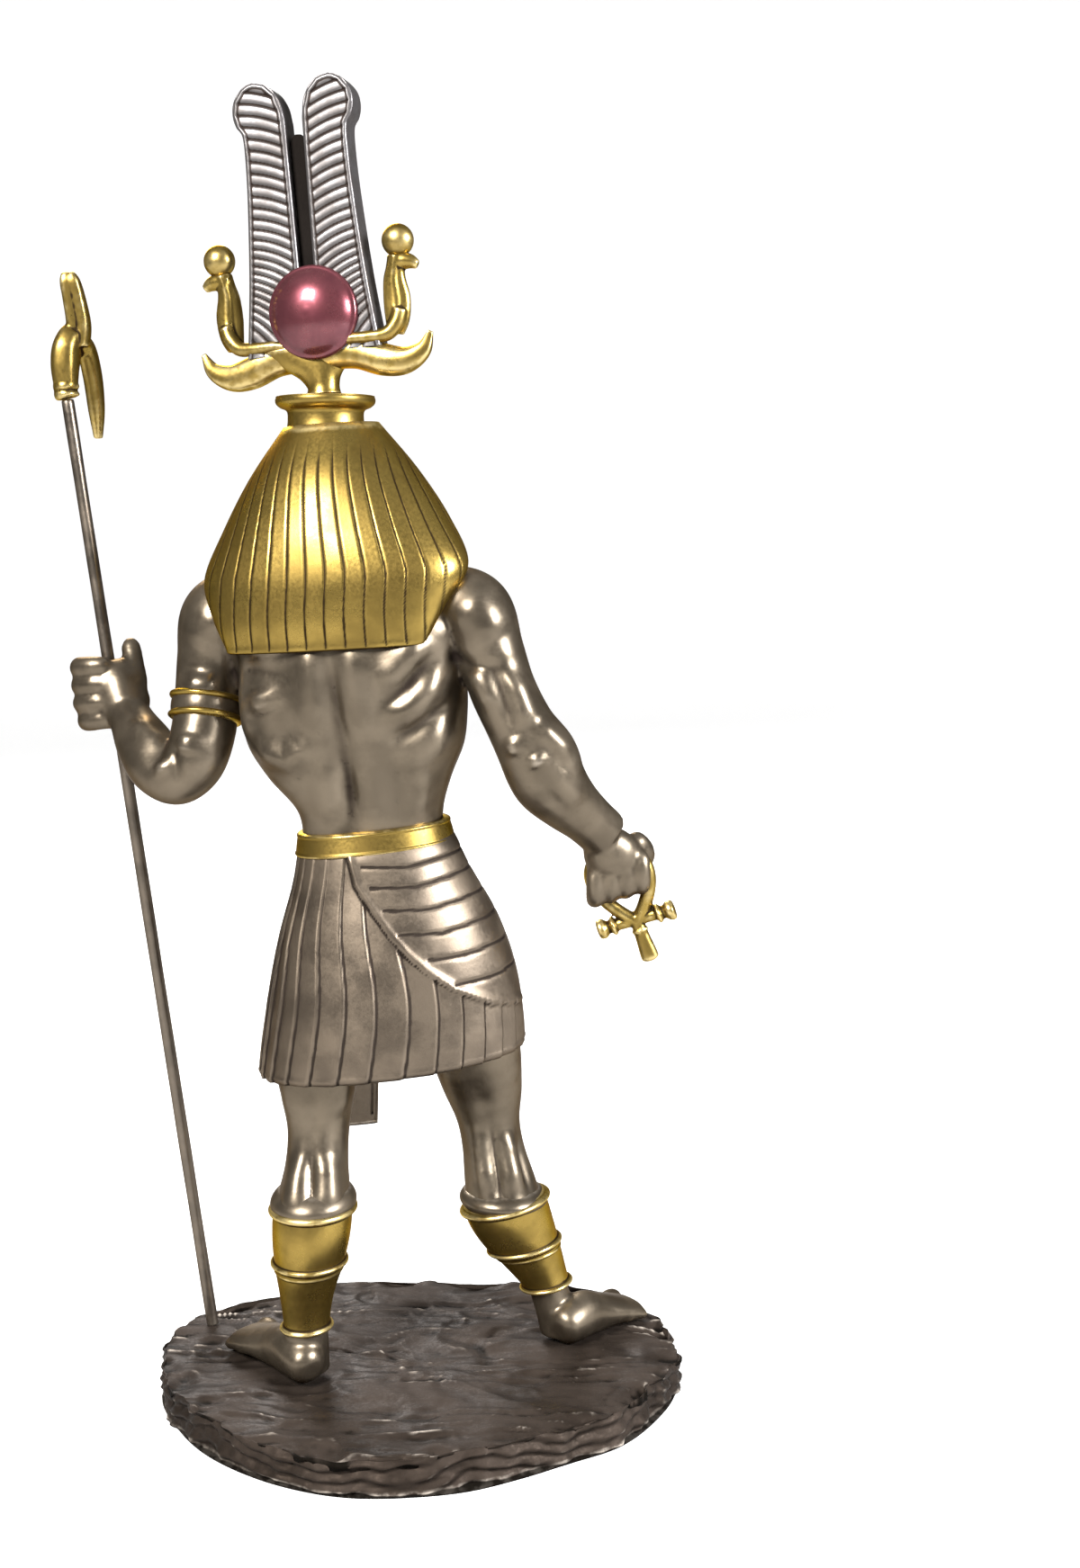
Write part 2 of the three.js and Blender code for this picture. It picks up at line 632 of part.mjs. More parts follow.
// Staff head: a collar, a beast's head with tall ears laid back and a long drooping muzzle
function staffHead() {
  const top = onRod(rodTopHeight - 1).addScaledVector(rodAxis, gap);
  const ahead = new THREE.Vector3(Math.sin(crownYaw * degree), -Math.cos(crownYaw * degree), 0);
  const at = (x, forward, z) => [top.x + x + ahead.x * forward, top.y + ahead.y * forward, top.z + z];
  const collar = limb([
    [...at(0, 0, 0), 2.4, 2.4, 0],
    [...at(0.1, 0, 0.8), 3, 3, 0],
    [...at(0.2, 0, 3.4), 3, 3, 0],
    [...at(0.2, 0, 4.2), 2.4, 2.4, 0],
  ], 8, 3);
  const block = limb([
    [...at(0.3, 0, 3.6), 2.9, 3, 0],
    [...at(0.4, 0.4, 8), 3.3, 3.8, 0],
    [...at(0.2, 1.4, 12), 3.3, 4.6, 0],
    [...at(-0.8, 2.4, 15.6), 2.8, 3.8, 0],
    [...at(-1.6, 2.6, 17), 1.8, 2.4, 0],
  ], 8, 4);
  const ears = limb([
    [...at(-2, 2.4, 13), 2.7, 3, 0],
    [...at(-2.8, 1.6, 18), 2.7, 2.6, 0],
    [...at(-2.5, 0.4, 24), 2.6, 2.2, 0],
    [...at(-2.1, -0.6, 28), 2.2, 1.8, 0],
    [...at(-1.8, -1, 30), 1.2, 0.9, 0],
  ], 8, 5);
  const muzzle = limb([
    [...at(-1.2, 3, 14.6), 2.2, 3, 0],
    [...at(-1.4, 8, 12.6), 2.3, 3.2, 0],
    [...at(-1.2, 11.6, 6), 2.3, 3, 0],
    [...at(-1, 13.4, -2), 2, 2.4, 0],
    [...at(-0.8, 14.2, -9), 1.1, 1.2, 0],
  ], 8, 6);
  return joined([collar, block, ears, muzzle]);
}

// A direction across the crown and one out of its back
const crownAcross = new THREE.Vector3(Math.cos(crownYaw * degree), Math.sin(crownYaw * degree), 0);
const crownBack = new THREE.Vector3(-crownAcross.y, crownAcross.x, 0);

// A place on the crown, which leans a little towards the figure's left
function onCrown(across, back, height) {
  const up = height - crownFoot[2];
  const leaned = across * Math.cos(crownLean * degree) + up * Math.sin(crownLean * degree);
  const raised = up * Math.cos(crownLean * degree) - across * Math.sin(crownLean * degree);
  return new THREE.Vector3(crownFoot[0], crownFoot[1], crownFoot[2] + raised)
    .addScaledVector(crownAcross, leaned)
    .addScaledVector(crownBack, back);
}

// A geometry made flat, with x across, y out of the back and z up, carried onto the crown
function ontoCrown(geometry) {
  const position = geometry.getAttribute("position");
  for (let i = 0; i < position.count; i += 1) {
    const point = onCrown(position.getX(i), position.getY(i), position.getZ(i));
    position.setXYZ(i, point.x, point.y, point.z);
  }
  return solid(geometry);
}

// The outline of the plume on the +X side: straight inside, curling outward at the top
const plumeOutline = [
  [1.7, 255], [2.1, 300], [2.4, 309], [3.8, 313.4], [6.2, 315.8], [9.2, 316.5], [12, 315.4],
  [13.9, 313], [14.5, 310], [13.9, 307.2], [12.6, 305], [12.4, 300], [12.8, 290], [14.2, 272], [16.2, 255],
];

// One plume: a flat slab with barbs cut in both faces, inside a plain rim
function plume(side) {
  const lowest = 279;
  const middle = 0.8;
  const points = plumeOutline.map(([across, height]) => new THREE.Vector2(middle + side * across, height));
  const shape = new THREE.Shape(points);
  const slab = new THREE.ExtrudeGeometry(shape, { depth: plumeDepth, bevelEnabled: false, steps: 1 });
  slab.rotateX(90 * degree);
  slab.translate(0, plumeDepth / 2, 0);
  const cuts = [];
  for (let row = 0; row < barbRows; row += 1) {
    [1, -1].forEach((face) => {
      const cut = new THREE.BoxGeometry(8.4, 2, 1.1);
      cut.rotateY(side * -14 * degree);
      cut.translate(middle + side * 7.6, face * (plumeDepth / 2 + 0.4), lowest + row * barbPitch);
      cuts.push(ontoCrown(cut));
    });
  }
  return ontoCrown(slab).subtract(joined(cuts));
}

// One side of the crown: a wavy ram's horn and the cobra with its disc that stands on it
function crownSide(side) {
  const middle = 1.2;
  const on = (across, back, height) => onCrown(middle + side * across, back, height).toArray();
  const horn = limb([
    [...on(-1, 0, 253.6), 3, 3, 0],
    [...on(5, 0, 254.4), 3.3, 3, 0],
    [...on(10.4, 0, 254.2), 3.4, 3, 0],
    [...on(16.4, 0, 251.8), 3.3, 2.9, 0],
    [...on(21.4, 0, 251.1), 2.8, 2.5, 0],
    [...on(25.8, 0, 253.2), 1.8, 1.8, 0],
    [...on(28, 0, 257.2), 0.6, 0.6, 0],
  ], 8, 10, [0, 1, 0]);
  const cobra = limb([
    [...on(7, 3, 256), 1.2, 1.2, 0],
    [...on(14, 2.4, 256.8), 1.7, 1.7, 0],
    [...on(19.4, 1.4, 258.4), 2, 1.9, 0],
    [...on(21.4, 0.4, 263.4), 2.4, 1.8, 0],
    [...on(20.8, 0, 269.2), 2.6, 1.8, 0],
    [...on(21.2, 0, 272.8), 1.9, 1.7, 0],
    [...on(23.6, 0, 273.8), 1.5, 1.4, 0],
    [...on(25.8, 0, 272.8), 0.7, 0.7, 0],
  ], 6, 12, [0, 1, 0]);
  const ball = egg(on(21.9, 0, 278.4), [3.75, 3.3, 3.75], crownYaw, 8);
  return joined([horn, cobra, ball]);
}

// The sun disc: round, standing proud of both faces of the plumes and domed
function sunDisc() {
  const dome = [[0, 8.6], [5.2, 7.8], [9, 5.8], [discRadius, 4.1]];
  const other = dome.map(([radius, out]) => [radius, -out]).reverse();
  const points = [...dome, ...other].reverse().map(([radius, out]) => new THREE.Vector2(radius, out));
  const geometry = new THREE.LatheGeometry(points, 20);
  geometry.translate(-1, 0, discHeight);
  return geometry;
}

function crown() {
  const stem = limb([
    [...onCrown(0.2, 0, crownFoot[2] + 2 * gap).toArray(), 4, 3.8, 0],
    [...onCrown(0.2, 0, 247.4).toArray(), 3.8, 3.4, 0],
    [...onCrown(0.5, 0, 250).toArray(), 5.2, 3.4, 0],
    [...onCrown(0.9, 0, 253.4).toArray(), 9, 3.4, 0],
    [...onCrown(1.2, 0, 257).toArray(), 12, 3.2, 0],
  ], 10, 4);
  return joined([stem, plume(1), plume(-1), crownSide(1), crownSide(-1), ontoCrown(sunDisc())]);
}

const group = new THREE.Group();
group.add(mesh("rock_base", base(), rock));
group.add(mesh("figure", figure(), bronze));
group.add(mesh("crown", crown(), pewter));
group.add(mesh("staff_rod", rod(), steel));
group.add(mesh("staff_head", staffHead(), gold));
group.add(mesh("ankh", ankh(), gold));

export default group;
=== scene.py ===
"""Dresses the cast figurine of a crocodile-headed god for the studio.

The frame holds the plain solids of the figurine. This script gives every one of them its
finished surface: the modelled body, the pleated kilt, the grooved headcloth, the feather
crown, the staff, the ankh and the rock, each in its own metallic coat. Sizes are in
millimetres, with +Z up and the figure facing -Y, and turn into metres as a mesh is made.
"""

import logging
import math
from collections.abc import Callable, Sequence
from dataclasses import dataclass
from enum import Enum
from itertools import product

import bpy
import numpy as np
from mathutils import Matrix, Vector


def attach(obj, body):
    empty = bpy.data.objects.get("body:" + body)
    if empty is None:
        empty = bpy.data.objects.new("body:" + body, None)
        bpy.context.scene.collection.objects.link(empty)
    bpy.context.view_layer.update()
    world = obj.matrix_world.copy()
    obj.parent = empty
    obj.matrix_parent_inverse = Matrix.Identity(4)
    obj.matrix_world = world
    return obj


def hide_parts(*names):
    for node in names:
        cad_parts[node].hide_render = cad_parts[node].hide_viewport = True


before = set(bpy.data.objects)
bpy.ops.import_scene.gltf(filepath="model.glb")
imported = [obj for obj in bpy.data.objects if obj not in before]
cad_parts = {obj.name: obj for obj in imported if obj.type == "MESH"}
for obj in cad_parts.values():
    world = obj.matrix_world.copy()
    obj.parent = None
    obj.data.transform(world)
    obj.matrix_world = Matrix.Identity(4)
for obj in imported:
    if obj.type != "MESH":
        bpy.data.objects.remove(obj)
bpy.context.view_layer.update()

MM = 0.001
LOG = logging.getLogger("figurine")
Array = np.ndarray
Point = tuple[float, float, float]
Outline = Callable[[Array, Array], Array]
Socket = bpy.types.NodeSocket


class Slot(Enum):
    """The material slots."""

    ROCK = "rock_bronze"
    BODY = "body_bronze"
    SILVER = "plume_silver"
    STAFF = "staff_metal"
    GOLD = "trim_gold"
    RED = "disc_red"


class Across(Enum):
    """How the rings of a loft stand: level, or square to the path with one side turned to a direction."""

    LEVEL = None
    BACK = (0.0, 1.0, 0.0)
    UP = (0.0, 0.0, 1.0)


# Surfaces worked out with numpy


@dataclass
class Skin:
    """A closed mesh in millimetres.

    Args:
        points: places of the points, one row each.
        quads: point numbers of the four-sided faces.
        tris: point numbers of the three-sided faces.
        wash_and_shade: how dark each point is painted, from 0 to 1, for dark wash in grooves and for
            painted shade in creases, under edges and where parts meet.
    """

    points: Array
    quads: Array
    tris: Array
    wash_and_shade: Array

    def corners(self) -> tuple[Array, Array]:
        """Gives every side of every face once, as its first and its second point."""
        starts = [self.quads.ravel(), self.tris.ravel()]
        ends = [np.roll(self.quads, -1, axis=1).ravel(), np.roll(self.tris, -1, axis=1).ravel()]
        return np.concatenate(starts), np.concatenate(ends)

    def mean_of_neighbours(self, values: Array) -> Array:
        """Averages a value over the neighbours of each point.

        Args:
            values: one row of numbers for each point.

        Returns:
            The averages, in rows of the same length.
        """
        start, end = self.corners()
        count = np.maximum(np.bincount(end, minlength=len(values)), 1)
        sums = [np.bincount(end, column[start], minlength=len(values)) for column in values.T]
        return np.stack(sums, axis=1) / count[:, None]

    def smooth(self, passes: int, share: float = 0.5) -> "Skin":
        """Moves each point a share of the way to its neighbours' middle, a number of times."""
        for _ in range(passes):
            self.points = self.points + share * (self.mean_of_neighbours(self.points) - self.points)
        return self

    def normals(self) -> Array:
        """Gives the outward direction at each point: the sum of the faces' own, made one long."""
        total = np.zeros_like(self.points)
        for faces, first, second in ((self.quads, (0, 2), (1, 3)), (self.tris, (0, 1), (0, 2))):
            if not len(faces):
                continue
            corner = self.points[faces]
            one = corner[:, first[1]] - corner[:, first[0]]
            other = corner[:, second[1]] - corner[:, second[0]]
            face = np.cross(one, other)
            for k in range(faces.shape[1]):
                for axis in range(3):
                    total[:, axis] += np.bincount(faces[:, k], face[:, axis], minlength=len(total))
        return total / np.maximum(np.linalg.norm(total, axis=1, keepdims=True), 1e-12)

    def outward(self) -> "Skin":
        """Turns the faces over where the mesh holds a negative volume."""
        halves = [self.quads[:, [0, 1, 2]], self.quads[:, [0, 2, 3]], self.tris]
        corner = self.points[np.concatenate(halves)]
        volume = np.einsum("ij,ij->i", corner[:, 0], np.cross(corner[:, 1], corner[:, 2])).sum()
        if volume < 0:
            self.quads = self.quads[:, ::-1]
            self.tris = self.tris[:, ::-1]
        return self

    def standing_out(self, passes: int) -> Array:
        """Tells how far each point stands out of the smoothed surface, in millimetres.

        Args:
            passes: how often the surface is smoothed, so how wide the forms are that count.

        Returns:
            A height for each point, below zero in a hollow.
        """
        normal = self.normals()
        even = self.points
        for _ in range(passes):
            even = 0.5 * (even + self.mean_of_neighbours(even))
        return np.einsum("ij,ij->i", self.points - even, normal)


def joined(skins: Sequence[Skin]) -> Skin:
    """Puts several skins into one mesh, side by side or through each other."""
    starts = np.cumsum([0] + [len(skin.points) for skin in skins[:-1]])
    return Skin(
        np.concatenate([skin.points for skin in skins]),
        np.concatenate([skin.quads + start for skin, start in zip(skins, starts)]),
        np.concatenate([skin.tris + start for skin, start in zip(skins, starts)]),
        np.concatenate([skin.wash_and_shade for skin in skins]),
    )


def whole_turn(sides: int) -> Array:
    """Gives evenly spaced angles around a full turn, in radians, without the last one."""
    return np.arange(sides) * 2 * math.pi / sides


def detail(full: int) -> int:
    return full


def band_quads(near: Array, far: Array) -> Array:
    """Joins the point numbers of rings and of the next rings into four-sided faces, round the turn."""
    corners = [near, np.roll(near, -1, axis=-1), np.roll(far, -1, axis=-1), far]
    return np.stack(corners, axis=-1).reshape(-1, 4)


def hoop_skin(grid: Array) -> Skin:
    """Closes a grid of rings into a hoop, its last ring joined to its first."""
    index = np.arange(grid.shape[0] * grid.shape[1]).reshape(grid.shape[:2])
    quads = band_quads(index, np.roll(index, -1, axis=0))
    return Skin(grid.reshape(-1, 3), quads, np.zeros((0, 3), dtype=int), np.zeros(index.size)).outward()


def tube_skin(grid: Array, wash_and_shade: Array | None = None) -> Skin:
    """Closes a grid of rings into a skin, with a fan of triangles over each end.

    Args:
        grid: places, as rings by sides by three.
        wash_and_shade: how dark each place of the grid is painted, for wash and painted shade, or nothing
            for a clean skin.

    Returns:
        The closed skin, faces outward.
    """
    rows, sides = grid.shape[:2]
    index = np.arange(rows * sides).reshape(rows, sides)
    quads = band_quads(index[:-1], index[1:])
    first, last = rows * sides, rows * sides + 1
    foot = np.stack([np.full(sides, first), np.roll(index[0], -1), index[0]], axis=-1)
    head = np.stack([np.full(sides, last), index[-1], np.roll(index[-1], -1)], axis=-1)
    points = np.concatenate([grid.reshape(-1, 3), grid[0].mean(axis=0)[None], grid[-1].mean(axis=0)[None]])
    marks = np.zeros(rows * sides) if wash_and_shade is None else wash_and_shade.ravel()
    marks = np.concatenate([marks, [marks[:sides].mean()], [marks[-sides:].mean()]])
    return Skin(points, quads, np.concatenate([foot, head]), marks).outward()


def smooth_rows(stations: Array, places: Array) -> Array:
    """Gives the smooth values between stations, by uniform Catmull-Rom curves.

    Args:
        stations: one row of numbers for each station.
        places: where to read them, counted in stations.

    Returns:
        One row of numbers for each place.
    """
    last = len(stations) - 1
    before = 2 * stations[:1] - stations[1:2]
    after = 2 * stations[-1:] - stations[-2:-1]
    padded = np.concatenate([before, stations, after])
    index = np.clip(np.floor(places).astype(int), 0, last - 1)
    part = (places - index)[:, None]
    a, b, c, d = (padded[index + shift] for shift in range(4))
    square = 2 * a - 5 * b + 4 * c - d
    cube = 3 * b - a - 3 * c + d
    return 0.5 * (2 * b + (c - a) * part + square * part**2 + cube * part**3)


def ring_directions(rows: Array, across: Across | Point) -> tuple[Array, Array]:
    """Gives the two directions in which each ring is wide and deep.

    Level rings use X and Y turned about Z. The others stand square to the path: the second
    direction is the given one made square to the path, and the first is square to both.

    Args:
        rows: x, y, z, half width, half depth and turn in degrees of each ring.
        across: level, or the direction that one side of each ring turns to.

    Returns:
        The first and the second direction of each ring.
    """
    turn = np.radians(rows[:, 5:6])
    aim = across.value if isinstance(across, Across) else across
    if aim is None:
        zero = np.zeros_like(turn)
        first = np.concatenate([np.cos(turn), np.sin(turn), zero], axis=1)
        second = np.concatenate([-np.sin(turn), np.cos(turn), zero], axis=1)
        return first, second
    along = np.gradient(rows[:, :3], axis=0)
    along /= np.linalg.norm(along, axis=1, keepdims=True)
    second = np.asarray(aim) - (along @ np.asarray(aim))[:, None] * along
    second /= np.linalg.norm(second, axis=1, keepdims=True)
    first = np.cross(second, along)
    turned = np.cos(turn) * first + np.sin(turn) * np.cross(along, first)
    return turned, np.cross(along, turned)


@dataclass(frozen=True)
class Loft:
    """A closed skin over rings that follow stations.

    Args:
        stations: x, y, z, half width, half depth and turn in degrees, in millimetres.
        across: how the rings stand.
        power: 1 for round rings, less for squarer ones.
        tilt: how much a level ring rises for each millimetre along X.
    """

    stations: tuple[tuple[float, ...], ...]
    across: Across | Point = Across.BACK
    power: float = 1.0
    tilt: float = 0.0

    def rows(self, places: Array) -> Array:
        """Gives the smooth stations at places counted in stations."""
        return smooth_rows(np.array(self.stations, dtype=float), places)

    def grid(self, places: Array, angles: Array, proud: Array | float = 0.0) -> Array:
        """Works out the surface on a grid.

        A point is the ring's middle plus its half width times the cosine and its half depth
        times the sine of the angle, each raised to the power, and moved out by a height.

        Args:
            places: the rings, counted in stations.
            angles: the angles around a ring, in radians.
            proud: height of each point over the plain ring, in millimetres.

        Returns:
            Places, as rings by angles by three.
        """
        rows = self.rows(places)
        first, second = ring_directions(rows, self.across)
        cosine, sine = np.cos(angles)[None], np.sin(angles)[None]
        wide = np.sign(cosine) * np.abs(cosine) ** self.power * (rows[:, 3:4] + proud)
        deep = np.sign(sine) * np.abs(sine) ** self.power * (rows[:, 4:5] + proud)
        out = wide[..., None] * first[:, None] + deep[..., None] * second[:, None]
        out[..., 2] += self.tilt * out[..., 0]
        return rows[:, None, :3] + out

    def skin(self, sides: int, rings: int, relief: Outline | None = None) -> Skin:
        """Closes the whole loft.

        Args:
            sides: points around a ring.
            rings: steps along the path.
            relief: height in millimetres from the angle and the place counted in stations.

        Returns:
            The closed skin.
        """
        places = np.linspace(0, len(self.stations) - 1, rings + 1)
        angles = whole_turn(sides)
        proud = 0.0 if relief is None else relief(angles[None], places[:, None])
        return tube_skin(self.grid(places, angles, proud))


def rod_skin(path: Sequence[Sequence[float]], radii: Sequence[float], across: Point = (0, 0, 1),
             flat: float = 1.0,
             sides: int = 28, rings: int = 36) -> Skin:
    """Makes a round limb with domed ends.

    The radius falls to nothing over its own length at each end, as a circle does.

    Args:
        path: places along the middle.
        radii: radius at each place.
        across: direction that one side of the limb turns to.
        flat: depth over width of the limb.
        sides: points around it.
        rings: steps along it.

    Returns:
        The closed skin.
    """
    stations = np.column_stack([np.array(path, dtype=float), radii, np.array(radii) * flat,
                                np.zeros(len(radii))])
    steps = 0.5 - 0.5 * np.cos(np.linspace(0, math.pi, rings))
    rows = smooth_rows(stations, steps * (len(stations) - 1))
    lengths = np.concatenate([[0], np.cumsum(np.linalg.norm(np.diff(rows[:, :3], axis=0), axis=1))])
    reach = np.minimum(lengths, lengths[-1] - lengths) / np.maximum(rows[:, 3], 1e-6)
    dome = np.sqrt(np.clip(1 - (1 - np.clip(reach, 0, 1)) ** 2, 0.0004, 1))
    rows[:, 3:5] *= dome[:, None]
    first, second = ring_directions(rows, across)
    angles = whole_turn(sides)
    wide = np.cos(angles)[None] * rows[:, 3:4]
    deep = np.sin(angles)[None] * rows[:, 4:5]
    return tube_skin(rows[:, None, :3] + wide[..., None] * first[:, None]
                     + deep[..., None] * second[:, None])


def egg_skin(centre: Sequence[float], sizes: Sequence[float], turn: float = 0.0, sides: int = 32) -> Skin:
    """Makes an egg: a ball scaled by three half sizes, turned about Z and moved to its centre."""
    rise = np.linspace(-math.pi / 2 + 0.02, math.pi / 2 - 0.02, sides // 2)[:, None]
    angles = whole_turn(sides)[None]
    ball = [np.cos(rise) * np.cos(angles) * sizes[0], np.cos(rise) * np.sin(angles) * sizes[1],
            np.sin(rise) * sizes[2]]
    x, y, z = np.broadcast_arrays(*ball)
    turned = [x * math.cos(turn) - y * math.sin(turn), x * math.sin(turn) + y * math.cos(turn), z]
    return tube_skin(np.stack(turned, axis=-1) + np.asarray(centre, dtype=float))


def lathe_skin(profile: Array, sides: int, to_place: Callable[[Array], Array]) -> Skin:
    """Turns a profile of radius and height about an axis.

    Args:
        profile: radius and height of each ring.
        sides: points around a ring.
        to_place: carries flat points, with the axis along Z, to their place.

    Returns:
        The closed skin.
    """
    angles = whole_turn(sides)
    radius, height = profile[:, :1], profile[:, 1:2]
    flat = np.stack(np.broadcast_arrays(radius * np.cos(angles), radius * np.sin(angles), height), axis=-1)
    return tube_skin(to_place(flat))


def rounded(profile: Sequence[Sequence[float]], steps: int = 6) -> Array:
    """Fills in a profile smoothly, with the same curve as the lofts."""
    rows = np.array(profile, dtype=float)
    return smooth_rows(rows, np.linspace(0, len(rows) - 1, steps * (len(rows) - 1) + 1))


def fused(skins: Sequence[Skin], voxel: float, passes: int) -> Skin:
    """Melts skins that run through each other into one, as wax is worked.

    Args:
        skins: the closed skins.
        voxel: size of the new faces in millimetres.
        passes: how often the seams are smoothed.

    Returns:
        One closed skin.
    """
    size = voxel * 1.0
    whole = joined(skins)
    wax = bpy.data.meshes.new("wax")
    wax.from_pydata(whole.points.tolist(), [], whole.quads.tolist() + whole.tris.tolist())
    lump = bpy.data.objects.new("wax", wax)
    bpy.context.scene.collection.objects.link(lump)
    remesh = lump.modifiers.new("remesh", "REMESH")
    remesh.mode = "VOXEL"
    remesh.voxel_size = size
    shaped = bpy.data.meshes.new_from_object(lump.evaluated_get(bpy.context.evaluated_depsgraph_get()))
    points = np.empty(len(shaped.vertices) * 3)
    shaped.vertices.foreach_get("co", points)
    loops = np.empty(len(shaped.loops), dtype=int)
    shaped.loops.foreach_get("vertex_index", loops)
    counts = np.empty(len(shaped.polygons), dtype=int)
    shaped.polygons.foreach_get("loop_total", counts)
    starts = np.concatenate([[0], np.cumsum(counts)[:-1]])
    quads = loops[starts[counts == 4][:, None] + np.arange(4)]
    tris = loops[starts[counts == 3][:, None] + np.arange(3)]
    bpy.data.objects.remove(lump)
    bpy.data.meshes.remove(wax)
    bpy.data.meshes.remove(shaped)
    points = points.reshape(-1, 3)
    return Skin(points, quads, tris, np.zeros(len(points))).outward().smooth(passes)


def grain(points: Array, size: float, seed: int = 0) -> Array:
    """Gives smooth noise between -1 and 1: values at the corners of a grid, blended in between.

    Args:
        points: places, one row each.
        size: width of a grid cell in millimetres.
        seed: chooses the pattern.

    Returns:
        A value for each place.
    """
    cell = points / size
    base = np.floor(cell)
    part = cell - base
    part = part * part * (3 - 2 * part)
    total = np.zeros(len(points))
    for corner in product((0, 1), repeat=3):
        spot = (base + corner) @ np.array([12.9898, 78.233, 37.719]) + seed * 4.137
        value = np.modf(np.sin(spot) * 43758.5453)[0]
        weight = np.where(np.array(corner) == 1, part, 1 - part).prod(axis=1)
        total += value * weight
    return total


def bell(distance: Array, width: float) -> Array:
    """Falls from 1 at distance 0 towards 0, by the bell curve of the width."""
    return np.exp(-((distance / width) ** 2))


def step(value: Array, low: float, high: float) -> Array:
    """Rises smoothly from 0 at the low value to 1 at the high one."""
    part = np.clip((value - low) / (high - low), 0, 1)
    return part * part * (3 - 2 * part)


@dataclass(frozen=True)
class Stroke:
    """One stroke of the modelling tool over the wax.

    Args:
        path: places that the stroke runs through.
        width: how wide the stroke is.
        lift: height that it adds, below zero for a furrow.
    """

    path: tuple[Point, ...]
    width: float
    lift: float

    def nearest(self, points: Array) -> tuple[Array, Array]:
        """Gives each point's distance to the path and the share of the path where it is nearest."""
        stops = np.array(self.path, dtype=float)
        if len(stops) == 1:
            return np.linalg.norm(points - stops[0], axis=1), np.full(len(points), 0.5)
        best, share = np.full(len(points), np.inf), np.zeros(len(points))
        lengths = np.linalg.norm(np.diff(stops, axis=0), axis=1)
        begun = np.concatenate([[0], np.cumsum(lengths)]) / lengths.sum()
        for number, (start, end) in enumerate(zip(stops[:-1], stops[1:])):
            run = end - start
            part = np.clip(((points - start) @ run) / (run @ run), 0, 1)
            away = np.linalg.norm(points - start - part[:, None] * run, axis=1)
            along = begun[number] + part * (begun[number + 1] - begun[number])
            share = np.where(away < best, along, share)
            best = np.minimum(best, away)
        return best, share

    def distance(self, points: Array) -> Array:
        """Gives each point's distance to the nearest stretch of the path."""
        return self.nearest(points)[0]

    def strength(self, points: Array) -> Array:
        """Gives the stroke's strength at each point: a bell across the path that runs out at its ends."""
        away, share = self.nearest(points)
        ends = 1.0 if len(self.path) == 1 else 0.15 + 0.85 * step(np.minimum(share, 1 - share), 0, 0.35)
        return bell(away, self.width) * ends


def modelled(skin: Skin, strokes: Sequence[Stroke]) -> Skin:
    """Works strokes into a skin: each moves the surface along its own direction by a bell curve."""
    for stroke in strokes:
        amount = stroke.lift * stroke.strength(skin.points)
        skin.points = skin.points + amount[:, None] * skin.normals()
    return skin


# Finishes


